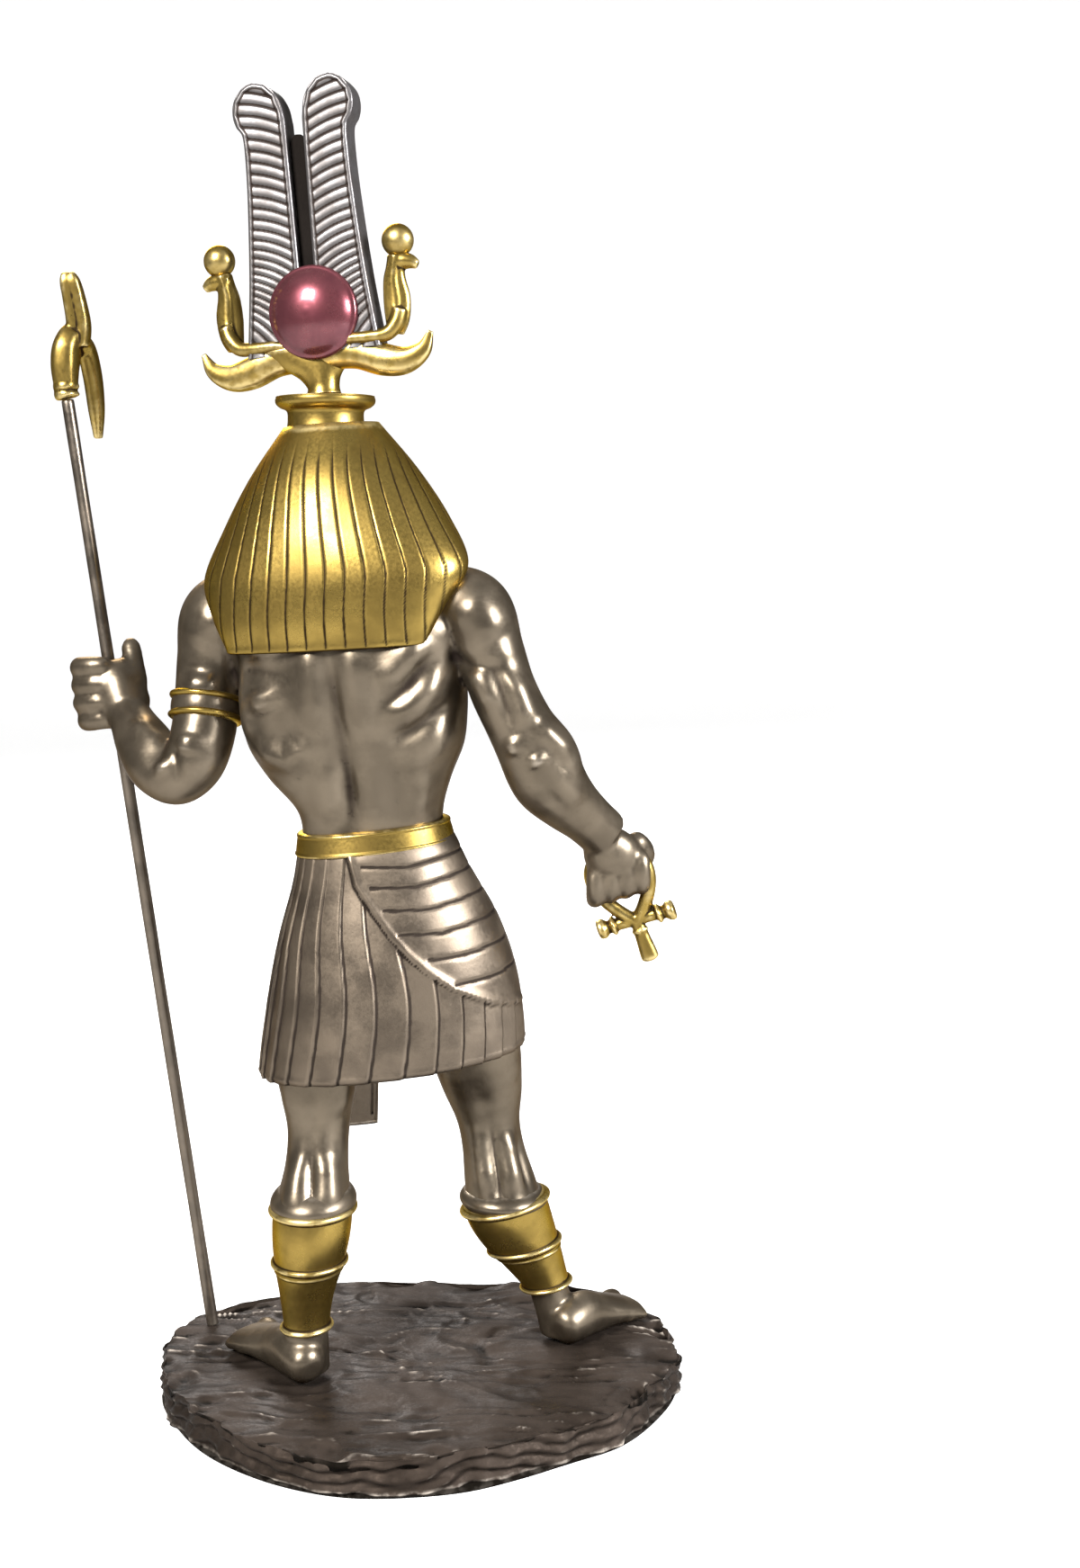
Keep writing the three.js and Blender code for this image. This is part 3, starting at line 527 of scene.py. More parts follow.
class Nodes:
    """Writes the nodes of one material."""

    def __init__(self, material: bpy.types.Material) -> None:
        """Clears the material's nodes and sets up its shader and output."""
        material.use_nodes = True
        self.tree = material.node_tree
        self.tree.nodes.clear()
        self.shader = self.tree.nodes.new("ShaderNodeBsdfPrincipled")
        output = self.tree.nodes.new("ShaderNodeOutputMaterial")
        self.link(self.shader.outputs["BSDF"], output.inputs["Surface"])
        self.place = self.tree.nodes.new("ShaderNodeTexCoord").outputs["Object"]

    def link(self, source: Socket, target: Socket) -> None:
        """Joins two sockets."""
        self.tree.links.new(source, target)

    def noise(self, size: float, octaves: float = 4.0) -> Socket:
        """Adds noise whose lumps are about a size in millimetres wide."""
        node = self.tree.nodes.new("ShaderNodeTexNoise")
        node.inputs["Scale"].default_value = 1.0 / (size * MM)
        node.inputs["Detail"].default_value = octaves
        self.link(self.place, node.inputs["Vector"])
        return node.outputs["Fac"]

    def cells(self, size: float) -> Socket:
        """Adds rounded cells of a width in millimetres, high in their middle and low where they meet."""
        node = self.tree.nodes.new("ShaderNodeTexVoronoi")
        node.feature = "DISTANCE_TO_EDGE"
        node.inputs["Scale"].default_value = 1.0 / (size * MM)
        self.link(self.place, node.inputs["Vector"])
        return self.ramp(node.outputs["Distance"], 0.0, 0.22, (0.0, 1.0))

    def attribute(self, name: str) -> Socket:
        """Reads a value that the mesh carries at its points."""
        node = self.tree.nodes.new("ShaderNodeAttribute")
        node.attribute_name = name
        return node.outputs["Fac"]

    def ramp(self, value: Socket, low: float, high: float, to: tuple[float, float]) -> Socket:
        """Carries a range of values smoothly to another range."""
        node = self.tree.nodes.new("ShaderNodeMapRange")
        node.interpolation_type = "SMOOTHSTEP"
        numbers = {"From Min": low, "From Max": high, "To Min": to[0], "To Max": to[1]}
        for socket, number in numbers.items():
            node.inputs[socket].default_value = number
        self.link(value, node.inputs["Value"])
        return node.outputs["Result"]

    def mix(self, amount: Socket, low: object, high: object) -> Socket:
        """Blends two colours, each a socket or three numbers."""
        node = self.tree.nodes.new("ShaderNodeMix")
        node.data_type = "RGBA"
        self.link(amount, node.inputs[0])
        for socket, colour in ((node.inputs[6], low), (node.inputs[7], high)):
            if isinstance(colour, Socket):
                self.link(colour, socket)
            else:
                socket.default_value = (*colour, 1.0)
        return node.outputs[2]

    def math(self, operation: str, first: Socket, second: object) -> Socket:
        """Works out one sum of two values, the second a socket or a number."""
        node = self.tree.nodes.new("ShaderNodeMath")
        node.operation = operation
        self.link(first, node.inputs[0])
        if isinstance(second, Socket):
            self.link(second, node.inputs[1])
        else:
            node.inputs[1].default_value = second
        return node.outputs[0]

    def bump(self, height: Socket, depth: float, strength: float) -> None:
        """Lays fine relief of a depth in millimetres over the shader."""
        node = self.tree.nodes.new("ShaderNodeBump")
        node.inputs["Distance"].default_value = depth * MM
        node.inputs["Strength"].default_value = strength
        self.link(height, node.inputs["Height"])
        self.link(node.outputs["Normal"], self.shader.inputs["Normal"])


@dataclass(frozen=True)
class MetalCoat:
    """A metallic coat, painted dark in its hollows with wash and painted shade, and bright on its ridges
    with rubbed wear and painted highlight.

    Args:
        name: name of the material.
        slot: the material slot that it belongs to; not used.
        base: main colour.
        other: second colour of the slow mottling.
        dark: colour of the hollows, for the wash and the painted shade.
        bright: colour of the ridges, for the rubbed wear and the painted highlight.
        rough: lowest and highest roughness.
        metal: how metallic the coat is.
        mottle: width of the mottling in millimetres.
        tooth: depth of the fine relief in millimetres.
        wear: how much of the bright colour, rubbed wear and painted highlight, shows on a ridge.
        gloss: strength of a clear layer on top.
        scales: width of the reptile's scales in millimetres, or nothing for smooth metal.
        edge: tint of what the coat mirrors at a flat angle.
    """

    name: str
    slot: Slot
    base: Point
    other: Point
    dark: Point
    bright: Point
    rough: tuple[float, float]
    metal: float = 0.9
    mottle: float = 9.0
    tooth: float = 0.03
    wear: float = 0.6
    gloss: float = 0.0
    scales: float = 0.0
    edge: Point = (0.35, 0.3, 0.26)

    def material(self) -> bpy.types.Material:
        """Makes the material once and gives it back.

        Returns:
            The material: the base mottled with the second colour, then the dark colour by the
            mesh's hollows as wash and painted shade, then the bright colour by its ridges as rubbed
            wear and painted highlight, with a grainy roughness.
        """
        made = bpy.data.materials.get(self.name)
        if made:
            return made
        made = bpy.data.materials.new(self.name)
        nodes = Nodes(made)
        slow = nodes.noise(self.mottle, 5.0)
        fine = nodes.noise(0.7, 3.0)
        spots = nodes.noise(2.6, 6.0)
        colour = nodes.mix(nodes.ramp(slow, 0.35, 0.65, (0, 1)), self.base, self.other)
        # Wash and painted shade: the mesh's hollow mark, with random dark spots, mixes in the dark colour.
        hollow = nodes.math("ADD", nodes.attribute("hollow"), nodes.ramp(spots, 0.55, 0.8, (0, 0.25)))
        colour = nodes.mix(nodes.ramp(hollow, 0.08, 0.75, (0, 1)), colour, self.dark)
        # Rubbed wear and painted highlight: the mesh's ridge mark mixes in the bright colour.
        ridge = nodes.math("MULTIPLY", nodes.attribute("ridge"), nodes.ramp(spots, 0.3, 0.6, (0.35, 1)))
        colour = nodes.mix(nodes.ramp(ridge, 0.1, 0.8, (0, self.wear)), colour, self.bright)
        nodes.link(colour, nodes.shader.inputs["Base Color"])
        nodes.shader.inputs["Metallic"].default_value = self.metal
        grainy = nodes.math("ADD", nodes.math("MULTIPLY", fine, 0.35), nodes.math("MULTIPLY", slow, 0.65))
        rough = nodes.ramp(grainy, 0.35, 0.65, self.rough)
        rough = nodes.math("ADD", rough, nodes.ramp(hollow, 0.1, 0.8, (0, 0.25)))
        nodes.link(rough, nodes.shader.inputs["Roughness"])
        nodes.shader.inputs["Specular Tint"].default_value = (*self.edge, 1.0)
        nodes.shader.inputs["Specular IOR Level"].default_value = 0.3
        nodes.shader.inputs["Coat Weight"].default_value = self.gloss
        nodes.shader.inputs["Coat Roughness"].default_value = 0.12
        height = nodes.math("ADD", nodes.math("MULTIPLY", spots, 0.6), nodes.math("MULTIPLY", fine, 0.4))
        if self.scales:
            height = nodes.math("ADD", height, nodes.math("MULTIPLY", nodes.cells(self.scales), 4.0))
        nodes.bump(height, self.tooth, 0.7)
        return made


# In each coat, dark is the colour of wash and painted shade in the hollows, and bright the colour of rubbed
# wear and painted highlight on the ridges.
BODY_COAT = MetalCoat(
    "burnished_bronze", Slot.BODY, base=(0.118, 0.096, 0.07), other=(0.16, 0.131, 0.096),
    dark=(0.022, 0.016, 0.013),
    bright=(0.55, 0.48, 0.39), rough=(0.28, 0.4), metal=0.88, tooth=0.03, wear=0.5,
)
CLOTH_COAT = MetalCoat(
    "kilt_bronze", Slot.BODY, base=(0.115, 0.092, 0.07), other=(0.15, 0.12, 0.09),
    dark=(0.026, 0.02, 0.016),
    bright=(0.52, 0.45, 0.38), rough=(0.32, 0.46), metal=0.86, tooth=0.045, wear=0.55,
)
GOLD_COAT = MetalCoat(
    "antique_gold", Slot.GOLD, base=(0.3, 0.208, 0.054), other=(0.19, 0.13, 0.034),
    dark=(0.026, 0.017, 0.008),
    bright=(0.8, 0.64, 0.3), rough=(0.26, 0.4), metal=0.95, tooth=0.035, wear=0.6,
    edge=(0.5, 0.36, 0.14),
)
SILVER_COAT = MetalCoat(
    "feather_silver", Slot.SILVER, base=(0.14, 0.133, 0.134), other=(0.1, 0.092, 0.09),
    dark=(0.026, 0.019, 0.016),
    bright=(0.46, 0.45, 0.45), rough=(0.34, 0.5), metal=0.82, mottle=5.0, tooth=0.05, wear=0.5,
    edge=(0.5, 0.47, 0.45),
)
WALL_COAT = MetalCoat(
    "feather_wall", Slot.SILVER, base=(0.15, 0.13, 0.112), other=(0.11, 0.094, 0.08),
    dark=(0.03, 0.024, 0.02),
    bright=(0.6, 0.56, 0.5), rough=(0.36, 0.5), metal=0.85, mottle=5.0, tooth=0.04, wear=0.4,
)
SCALE_COAT = MetalCoat(
    "crocodile_bronze", Slot.BODY, base=(0.13, 0.102, 0.08), other=(0.19, 0.15, 0.115),
    dark=(0.022, 0.016, 0.013),
    bright=(0.55, 0.48, 0.41), rough=(0.26, 0.4), metal=0.88, tooth=0.05, wear=0.6, scales=2.2,
)
ROCK_COAT = MetalCoat(
    "broken_rock", Slot.ROCK, base=(0.022, 0.0165, 0.013), other=(0.034, 0.026, 0.021),
    dark=(0.005, 0.004, 0.003),
    bright=(0.5, 0.44, 0.38), rough=(0.42, 0.66), metal=0.45, mottle=12.0, tooth=0.12, wear=0.8,
    edge=(0.12, 0.1, 0.085),
)
# Painted shade: a near-black coat for the gap between the plumes, where there is only shade.
WEB_SHADE_COAT = MetalCoat(
    "feather_web_shade", Slot.SILVER, base=(0.03, 0.026, 0.023), other=(0.045, 0.039, 0.034),
    dark=(0.01, 0.008, 0.007),
    bright=(0.3, 0.27, 0.24), rough=(0.5, 0.65), metal=0.4, tooth=0.03, wear=0.3, edge=(0.2, 0.18, 0.16),
)
STAFF_COAT = MetalCoat(
    "browned_steel", Slot.STAFF, base=(0.13, 0.11, 0.09), other=(0.18, 0.15, 0.12),
    dark=(0.03, 0.024, 0.02),
    bright=(0.4, 0.36, 0.3), rough=(0.28, 0.42), metal=0.95, mottle=7.0, tooth=0.015, wear=0.3,
)
RED_COAT = MetalCoat(
    "red_lacquer", Slot.RED, base=(0.14, 0.04, 0.048), other=(0.11, 0.03, 0.038), dark=(0.05, 0.018, 0.022),
    bright=(0.3, 0.11, 0.12), rough=(0.26, 0.34), metal=0.75, mottle=4.0, tooth=0.008, wear=0.3, gloss=0.6,
    edge=(0.3, 0.1, 0.12),
)


def put(name: str, skin: Skin, coat: MetalCoat, *nodes: str, depth: float = 0.12,
        passes: int = 4) -> bpy.types.Object:
    """Makes a piece of a skin: its mesh, its coat, what it stands for and what it rides on.

    Args:
        name: name of the piece.
        skin: its closed surface, in millimetres.
        coat: its finish.
        nodes: names of the frame's nodes that it stands for.
        depth: depth of a hollow, in millimetres, that is painted fully dark.
        passes: how often the surface is smoothed to tell hollows and ridges.

    Returns:
        The piece.
    """
    # Painted shade and painted highlight: narrow and broad hollows are marked dark, on top of the skin's
    # own wash and painted shade, and raised forms are marked bright, partly as rubbed wear.
    height = skin.standing_out(passes) / depth
    wide = skin.standing_out(passes * 6) / (depth * 4)
    hollow = np.clip(np.clip(-height, 0, 1) + 0.5 * np.clip(-wide, 0, 1) + skin.wash_and_shade, 0, 1)
    ridge = np.clip(np.clip(height - 0.15, 0, 1) + 0.3 * np.clip(wide - 0.4, 0, 1), 0, 1) * (1 - hollow)
    mesh = bpy.data.meshes.new(name)
    mesh.from_pydata((skin.points * MM).tolist(), [], skin.quads.tolist() + skin.tris.tolist())
    mesh.polygons.foreach_set("use_smooth", np.ones(len(mesh.polygons), dtype=bool))
    for key, values in (("hollow", hollow), ("ridge", ridge)):
        mesh.attributes.new(key, "FLOAT", "POINT").data.foreach_set("value", values.astype(np.float32))
    mesh.materials.append(coat.material())
    mesh.update()
    piece = bpy.data.objects.new(name, mesh)
    bpy.context.scene.collection.objects.link(piece)
    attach(piece, "root")
    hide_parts(*nodes)
    LOG.info("%s: %d points, %d faces", name, len(mesh.vertices), len(mesh.polygons))
    return piece


# The figure


def yawed(centre: Sequence[float], yaw: float, ahead: float, out: float, height: float) -> Point:
    """Gives the place some way ahead of a centre and out to its left, with a yaw in degrees."""
    turn = math.radians(yaw)
    x = centre[0] + math.sin(turn) * ahead + math.cos(turn) * out
    y = centre[1] - math.cos(turn) * ahead + math.sin(turn) * out
    return (x, y, height)


def moved(centre: Sequence[float], path: Sequence[Sequence[float]]) -> list[Point]:
    """Gives a path that is written around a centre in its real place."""
    return [(centre[0] + x, centre[1] + y, centre[2] + z) for x, y, z in path]


LEFT_ARM = Loft((
    (36, -3, 196, 9, 9, 0), (43.8, -5.4, 193.5, 9.8, 9.8, 0), (46.4, -5, 184, 8.4, 8.8, 0),
    (47.6, -3, 175, 7.7, 8.4, 0),
    (48.4, -0.6, 167, 7.6, 8.2, 0), (50.4, 1.4, 160, 7.2, 7.6, 0), (55, 0, 156.2, 6.8, 7, 0),
    (60.4, -5, 158.6, 7.4, 7.6, 0),
    (65, -11, 163.4, 6.8, 6.8, 0), (69, -16.6, 168.6, 5.4, 5.6, 0), (72.4, -21, 173, 5.6, 5.4, 0),
))
RIGHT_ARM = Loft((
    (-9, 5, 197, 9, 9, 0), (-16.6, 8.4, 195, 9, 9.6, 0), (-20.2, 10, 186, 8, 8.6, 0),
    (-23.2, 11, 177, 7.7, 8.2, 0),
    (-27.2, 11.6, 168.5, 7.9, 7.9, 0), (-31.2, 11.4, 161.5, 9.1, 8, 0), (-33.6, 9.4, 155.6, 8.8, 7.8, 0),
    (-37.6, 5, 150.2, 7.5, 7, 0), (-42.4, 0.4, 145.2, 6.4, 5.8, 0), (-46.8, -3.6, 140.6, 6.2, 5.4, 0),
))
LEFT_LEG = Loft((
    (26.6, 8.4, 11, 5, 5.2, -30), (26.8, 8.2, 17, 5, 5.6, -30), (26.8, 8.2, 24, 5, 5.6, -20),
    (26.4, 9, 31, 6, 6.8, -10),
    (25.6, 10, 38, 7.6, 8.6, 0), (24.8, 10.6, 46, 8.8, 10, 0), (24.2, 9.6, 54, 8.9, 9.8, 0),
    (23.4, 7, 63, 7.6, 8.4, 0),
    (23, 5, 71, 7.5, 8.2, 0), (23, 4, 79, 8.9, 9.8, 0), (22.6, 3.2, 87, 10.4, 11.4, 0),
    (19, 2, 102, 11.8, 12.4, 0),
), Across.LEVEL)
RIGHT_LEG = Loft((
    (-35, -11.4, 11, 5, 5.2, 30), (-33.6, -12.4, 17, 4.9, 5.6, 26), (-31.4, -13, 24, 5.2, 5.8, 20),
    (-28, -12.4, 31, 7, 7.2, 10),
    (-24.4, -11.2, 38, 8.9, 9, 6), (-21.7, -10.6, 45, 9.7, 10, 0), (-20.2, -11.4, 52, 8.9, 9.6, 0),
    (-18.6, -13, 60, 7.8, 8.6, 0),
    (-17.4, -13.6, 67, 8, 8.6, 0), (-16, -12.2, 76, 10.1, 10, 0), (-13.6, -8, 90, 11.9, 11.8, 0),
    (-9.4, -4, 104, 12.2, 12.6, 0),
), Across.LEVEL)


@dataclass(frozen=True)
class Staff:
    """The tall staff: a plain round rod with a collar, a beast's head, its ears and its muzzle."""

    foot: Point = (55.4, -22.8, 9.0)
    top: Point = (83.2, -24.4, 247.5)
    radius: float = 1.5
    yaw: float = -13.0
    gap: float = 0.3

    def at(self, height: float) -> Array:
        """Gives the place on the staff's middle line at a height."""
        low, high = np.array(self.foot), np.array(self.top)
        return low + (high - low) * (height - low[2]) / (high[2] - low[2])

    def rod(self) -> Skin:
        """Turns the rod: a long cylinder, a hair rounded at both ends and worn uneven by a tenth."""
        low, high = self.at(self.foot[2] + self.gap), self.at(self.top[2] - 1)
        part = np.concatenate([[0, 0.0006], np.linspace(0.002, 0.998, 160), [0.9994, 1]])
        wear = 0.04 * np.sin(part * 37) * np.sin(part * 11.3)
        radius = (self.radius + wear) * np.concatenate([[0.8, 0.95], np.ones(160), [0.95, 0.8]])
        path = low + (high - low) * part[:, None]
        stations = np.column_stack([path, radius, radius, np.zeros(len(part))])
        first, second = ring_directions(stations, Across.BACK)
        angles = whole_turn(32)
        cosine, sine = np.cos(angles)[None, :, None], np.sin(angles)[None, :, None]
        out = cosine * first[:, None] + sine * second[:, None]
        return tube_skin(path[:, None] + radius[:, None, None] * out)

    def head(self) -> Skin:
        """Models the head over the collar: a block, two ears laid back and a long drooping muzzle."""
        ahead = np.array(yawed((0, 0), self.yaw, 1, 0, 0))
        foot = self.at(self.top[2] - 1)

        def along(rows: Sequence[Sequence[float]]) -> tuple[tuple[float, ...], ...]:
            """Turns rows of x, forward, height, width and depth into stations."""
            return tuple(
                (*(foot + np.array([x, 0, z]) + ahead * forward + [0, 0, self.gap]), wide, deep, 0)
                for x, forward, z, wide, deep in rows
            )

        collar = along([(0, 0, 0, 2.4, 2.4), (0.1, 0, 0.5, 3, 3), (0.1, 0, 1.3, 3.1, 3.1),
                        (0.1, 0, 1.8, 2.6, 2.6),
                        (0.2, 0, 2.4, 3.1, 3.1), (0.2, 0, 3.4, 3.1, 3.1), (0.2, 0, 4.2, 2.4, 2.4)])
        block = along([(0.3, 0, 3.6, 2.9, 3), (0.4, 0.4, 8, 3.3, 3.8), (0.2, 1.4, 12, 3.3, 4.6),
                       (-0.8, 2.4, 15.6, 2.8, 3.8), (-1.6, 2.6, 17, 1.8, 2.4)])
        muzzle = along([(-1.2, 3, 14.6, 2.2, 3), (-1.4, 8, 12.6, 2.3, 3.2), (-1.2, 11.6, 6, 2.3, 3),
                        (-1, 13.4, -2, 2, 2.4), (-0.8, 14.2, -9, 1.1, 1.2)])
        ears = [
            along([(side * 1.1 - 2, 2.4, 13, 1.8, 2.8), (side * 1.2 - 2.8, 1.6, 18, 1.7, 2.5),
                   (side * 1.1 - 2.5, 0.4, 24, 1.6, 2.2), (side * 0.9 - 2.1, -0.6, 28, 1.5, 1.8),
                   (side * 0.7 - 1.8, -1, 30, 0.8, 0.9)])
            for side in (-1, 1)
        ]
        lofts = [Loft(collar, Across.BACK), Loft(block, Across.BACK, 0.72), Loft(muzzle, Across.BACK, 0.8)]
        lofts += [Loft(ear, Across.BACK, 0.7) for ear in ears]
        return fused([loft.skin(32, 48) for loft in lofts], 0.34, 2)

    def dress(self) -> None:
        """Makes the rod and its head."""
        put("staff_shaft", self.rod(), STAFF_COAT, "staff_rod")
        put("staff_beast_head", self.head(), GOLD_COAT, "staff_head", depth=0.05)


@dataclass(frozen=True)
class Body:
    """The torso with both arms and both fists, worked in one lump and then modelled with strokes."""

    staff: Staff = Staff()
    voxel: float = 0.62
    grip: float = 175.2
    pitch: float = 4.4
    right_hand: Point = (-50.2, -7.6, 133.8)
    torso: Loft = Loft((
        (7.6, 0, 132, 17, 13, 8), (8.3, 0, 140, 16.8, 12.4, 7), (9, 0.2, 148, 17.4, 12.4, 3),
        (11.2, 0.6, 156, 21.8, 13.8, -2),
        (12, 1, 164, 25.8, 15.8, -7), (12, 1.2, 172, 26.8, 17, -10), (12.4, 1.4, 180, 27.4, 17.4, -12),
        (13, 1.6, 188, 29, 17, -14), (13.6, 1.6, 195, 28.5, 15, -14), (14.4, 0.4, 201, 21, 12.4, -14),
        (14.8, -1.5, 207, 12, 11, -14),
    ), Across.LEVEL, 0.86)
    back: tuple[Stroke, ...] = (
        Stroke(((16.8, 17.5, 192), (15, 17, 178), (14, 16, 168), (12.8, 13.6, 156), (12.4, 12.6, 148),
                (12.2, 12.8, 138)), 3, -2.1),
        Stroke(((18.2, 13.4, 164), (17.9, 12.4, 152), (17.4, 12.4, 144.5)), 3.8, 1.6),
        Stroke(((8.4, 13.6, 164), (7.4, 12.5, 152), (7, 12.5, 144.5)), 3.8, 1.5),
        Stroke(((-3.4, 12, 161), (-2.9, 10.5, 152), (-2.9, 10.4, 144.5)), 3.6, 1.5),
        Stroke(((20, 15, 166), (20.6, 17, 178), (21, 17.4, 192)), 4, 1.8),
        Stroke(((9, 15.6, 164), (10, 18, 176), (11.4, 18.4, 192)), 4, 1.9),
        Stroke(((35, 8, 168), (32, 10.4, 163), (27, 13.4, 161), (22.6, 14.6, 164), (21, 15.4, 170)), 3.2,
               1.9),
        Stroke(((31.4, 11.6, 172), (33.4, 11.4, 178)), 4.4, 2),
        Stroke(((30.6, 12.6, 185), (32, 12.4, 189)), 3.8, 2),
        Stroke(((26.6, 14.6, 181.6), (33, 11.4, 182), (38, 7, 181.6)), 1.8, -0.9),
        Stroke(((37.4, 7.4, 182), (37.4, 6.4, 172), (36.4, 6.4, 164)), 3, 1.4),
        Stroke(((6, 19, 177), (0, 20.4, 183), (-7, 19.4, 191)), 3.6, 1.8),
        Stroke(((4.6, 18.6, 169), (-3.4, 18.4, 174.6), (-11, 15.6, 182)), 3.6, 1.9),
        Stroke(((5, 19.2, 173.4), (-2, 19.6, 179), (-9.6, 17.2, 187)), 1.9, -1.1),
        Stroke(((4.6, 18, 164), (-3.4, 17.2, 168.6), (-12, 13.4, 176)), 2, -1.2),
        Stroke(((1, 16, 155.6), (-5, 15.4, 162), (-11.4, 12.8, 170.6)), 4.2, 1.8),
    )
    front: tuple[Stroke, ...] = (
        Stroke(((14.4, -15.6, 186), (12, -14.6, 166), (9.6, -12.4, 148), (8.6, -12.4, 136)), 2, -1.3),
        Stroke(((2, -14, 178), (-8, -12.6, 183)), 7, 2.2),
        Stroke(((24, -17, 178), (33, -14, 183)), 7, 2.2),
        Stroke(((-12, -9, 174), (-4, -13, 171.6), (4, -15, 171), (12, -15.6, 173)), 1.8, -1.3),
        Stroke(((14, -15.8, 173), (22, -16, 171), (29, -13.6, 171.6), (35, -10, 174)), 1.8, -1.3),
        Stroke(((6, -14, 166), (6, -13.6, 160)), 3, 1),
        Stroke(((16, -14.6, 166), (15.6, -14, 160)), 3, 1),
        Stroke(((5, -13, 156), (5, -12.6, 150)), 3, 1),
        Stroke(((14, -13, 156), (13.4, -12.6, 150)), 3, 1),
        Stroke(((-3, -12, 166), (0, -12, 156), (2, -12, 144)), 1.6, -0.9),
        Stroke(((25, -12.6, 166), (21, -12, 156), (17.6, -11.6, 144)), 1.6, -0.9),
    )
    right_strokes: tuple[Stroke, ...] = (
        Stroke(((-13, 16, 199), (-18.4, 17.4, 194), (-22.4, 17.6, 188)), 5.6, 1.3),
        Stroke(((-9, 13, 187), (-14, 15.6, 183.6), (-21, 18, 182), (-28, 15.4, 184)), 2, -1.2),
        Stroke(((-15.6, 17, 184), (-18.6, 17.8, 178), (-21.6, 18.2, 172)), 2.8, 1.4),
        Stroke(((-25, 17.6, 182), (-27.4, 18.4, 176), (-29.4, 18.8, 168)), 2.8, 1.3),
        Stroke(((-21.4, 18.6, 183), (-23.4, 19, 176), (-25.6, 19, 168)), 1.5, -1.1),
        Stroke(((-25, 18.6, 167), (-26.6, 18.5, 162)), 2.2, 1.3),
        Stroke(((-30, 19.4, 163), (-31.6, 18.8, 159.4)), 2, 1.2),
        Stroke(((-30.4, 18.8, 171), (-34.8, 17.4, 165.6), (-38.8, 15, 161)), 2.6, 1.4),
        Stroke(((-31.6, 18.8, 166), (-34.4, 18, 162.6), (-38.6, 15.4, 157.6)), 1.2, -1),
        Stroke(((-33.4, 17.6, 159), (-37, 14.6, 154.4), (-41, 10.4, 150)), 2.2, 1),
        Stroke(((-31, 18, 157.6), (-34.6, 15, 152), (-39, 9.4, 147.6)), 1.5, -0.8),
        Stroke(((-28, 2.4, 182), (-31, 2.6, 176), (-35, 3, 169)), 4, 1.4),
        Stroke(((-33, 3.4, 163),), 3.4, -1),
    )
    left_strokes: tuple[Stroke, ...] = (
        Stroke(((42, 4.6, 196), (46, 4.4, 191), (49, 3.4, 186)), 5, 1.2),
        Stroke(((40.6, 8, 192), (40.6, 3, 180), (39.8, 1.9, 168)), 1.7, -1),
        Stroke(((42, 5.6, 182), (48, 6, 182), (55, 2, 184)), 1.8, -1),
        Stroke(((52.4, 3.8, 179), (47, 5.7, 178.6), (43, 5, 179)), 2.6, 1.3),
        Stroke(((50.6, 7.4, 168), (51.4, 8, 162)), 3, 1.2),
        Stroke(((58, 5.6, 161), (56, 6.8, 157.4)), 2.4, 1.3),
        Stroke(((54.6, 7, 166), (53.6, 8, 160), (53, 8, 154)), 1.5, -0.9),
        Stroke(((57, 2, 165), (62, -3, 167), (67, -9, 170)), 3, 1.2),
        Stroke(((58, 4, 159.6), (63, -1.4, 162), (68, -9, 166)), 1.5, -0.9),
        Stroke(((50, -12, 182), (50.4, -11, 176), (51.4, -9, 169)), 4, 1.4),
    )

    def left_fist(self) -> list[Skin]:
        """Models the fist on the staff: palm, four fingers round the rod and the thumb up along it."""
        centre = self.staff.at(self.grip)
        wrist = moved(centre, [(-6.4, 4.6, -9), (-4, 4, -4), (-2, 2.6, 2), (-1.2, 2, 8)])
        palm = rod_skin(wrist, (5, 6.3, 6, 4.6))
        fingers = []
        for finger in range(4):
            height = (finger - 1.5) * self.pitch - 0.8
            size = 1 - 0.05 * abs(finger - 1.2)
            curl = [(-2, 6.4, 0.8), (3.4, 6.4, 0.5), (7.4, 3, 0), (7.6, -2.2, -0.3), (4.4, -6, -0.5),
                    (-0.6, -6.8, -0.6),
                    (-4, -4.8, -0.6)]
            path = moved(centre,
                         [(x * size + height * 0.12, y * size - 0.4, z + height) for x, y, z in curl])
            fingers.append(rod_skin(path, (2.1, 2.45, 2.6, 2.35, 2.4, 2.1, 1.9), flat=1.05))
        thumb = rod_skin(
            moved(centre,
                  [(-5, 4.6, -3.4), (-6, 3.2, 2), (-5.6, 0.6, 6.6), (-4.6, -1.6, 10), (-4.2, -2.4, 13)]),
            (3.4, 3.3, 2.5, 2.5, 1.9), across=(0, 1, 0),
        )
        core = egg_skin(centre + np.array([1, 0, -0.8]), (5.4, 5.6, 8.4))
        return [palm, *fingers, thumb, core]

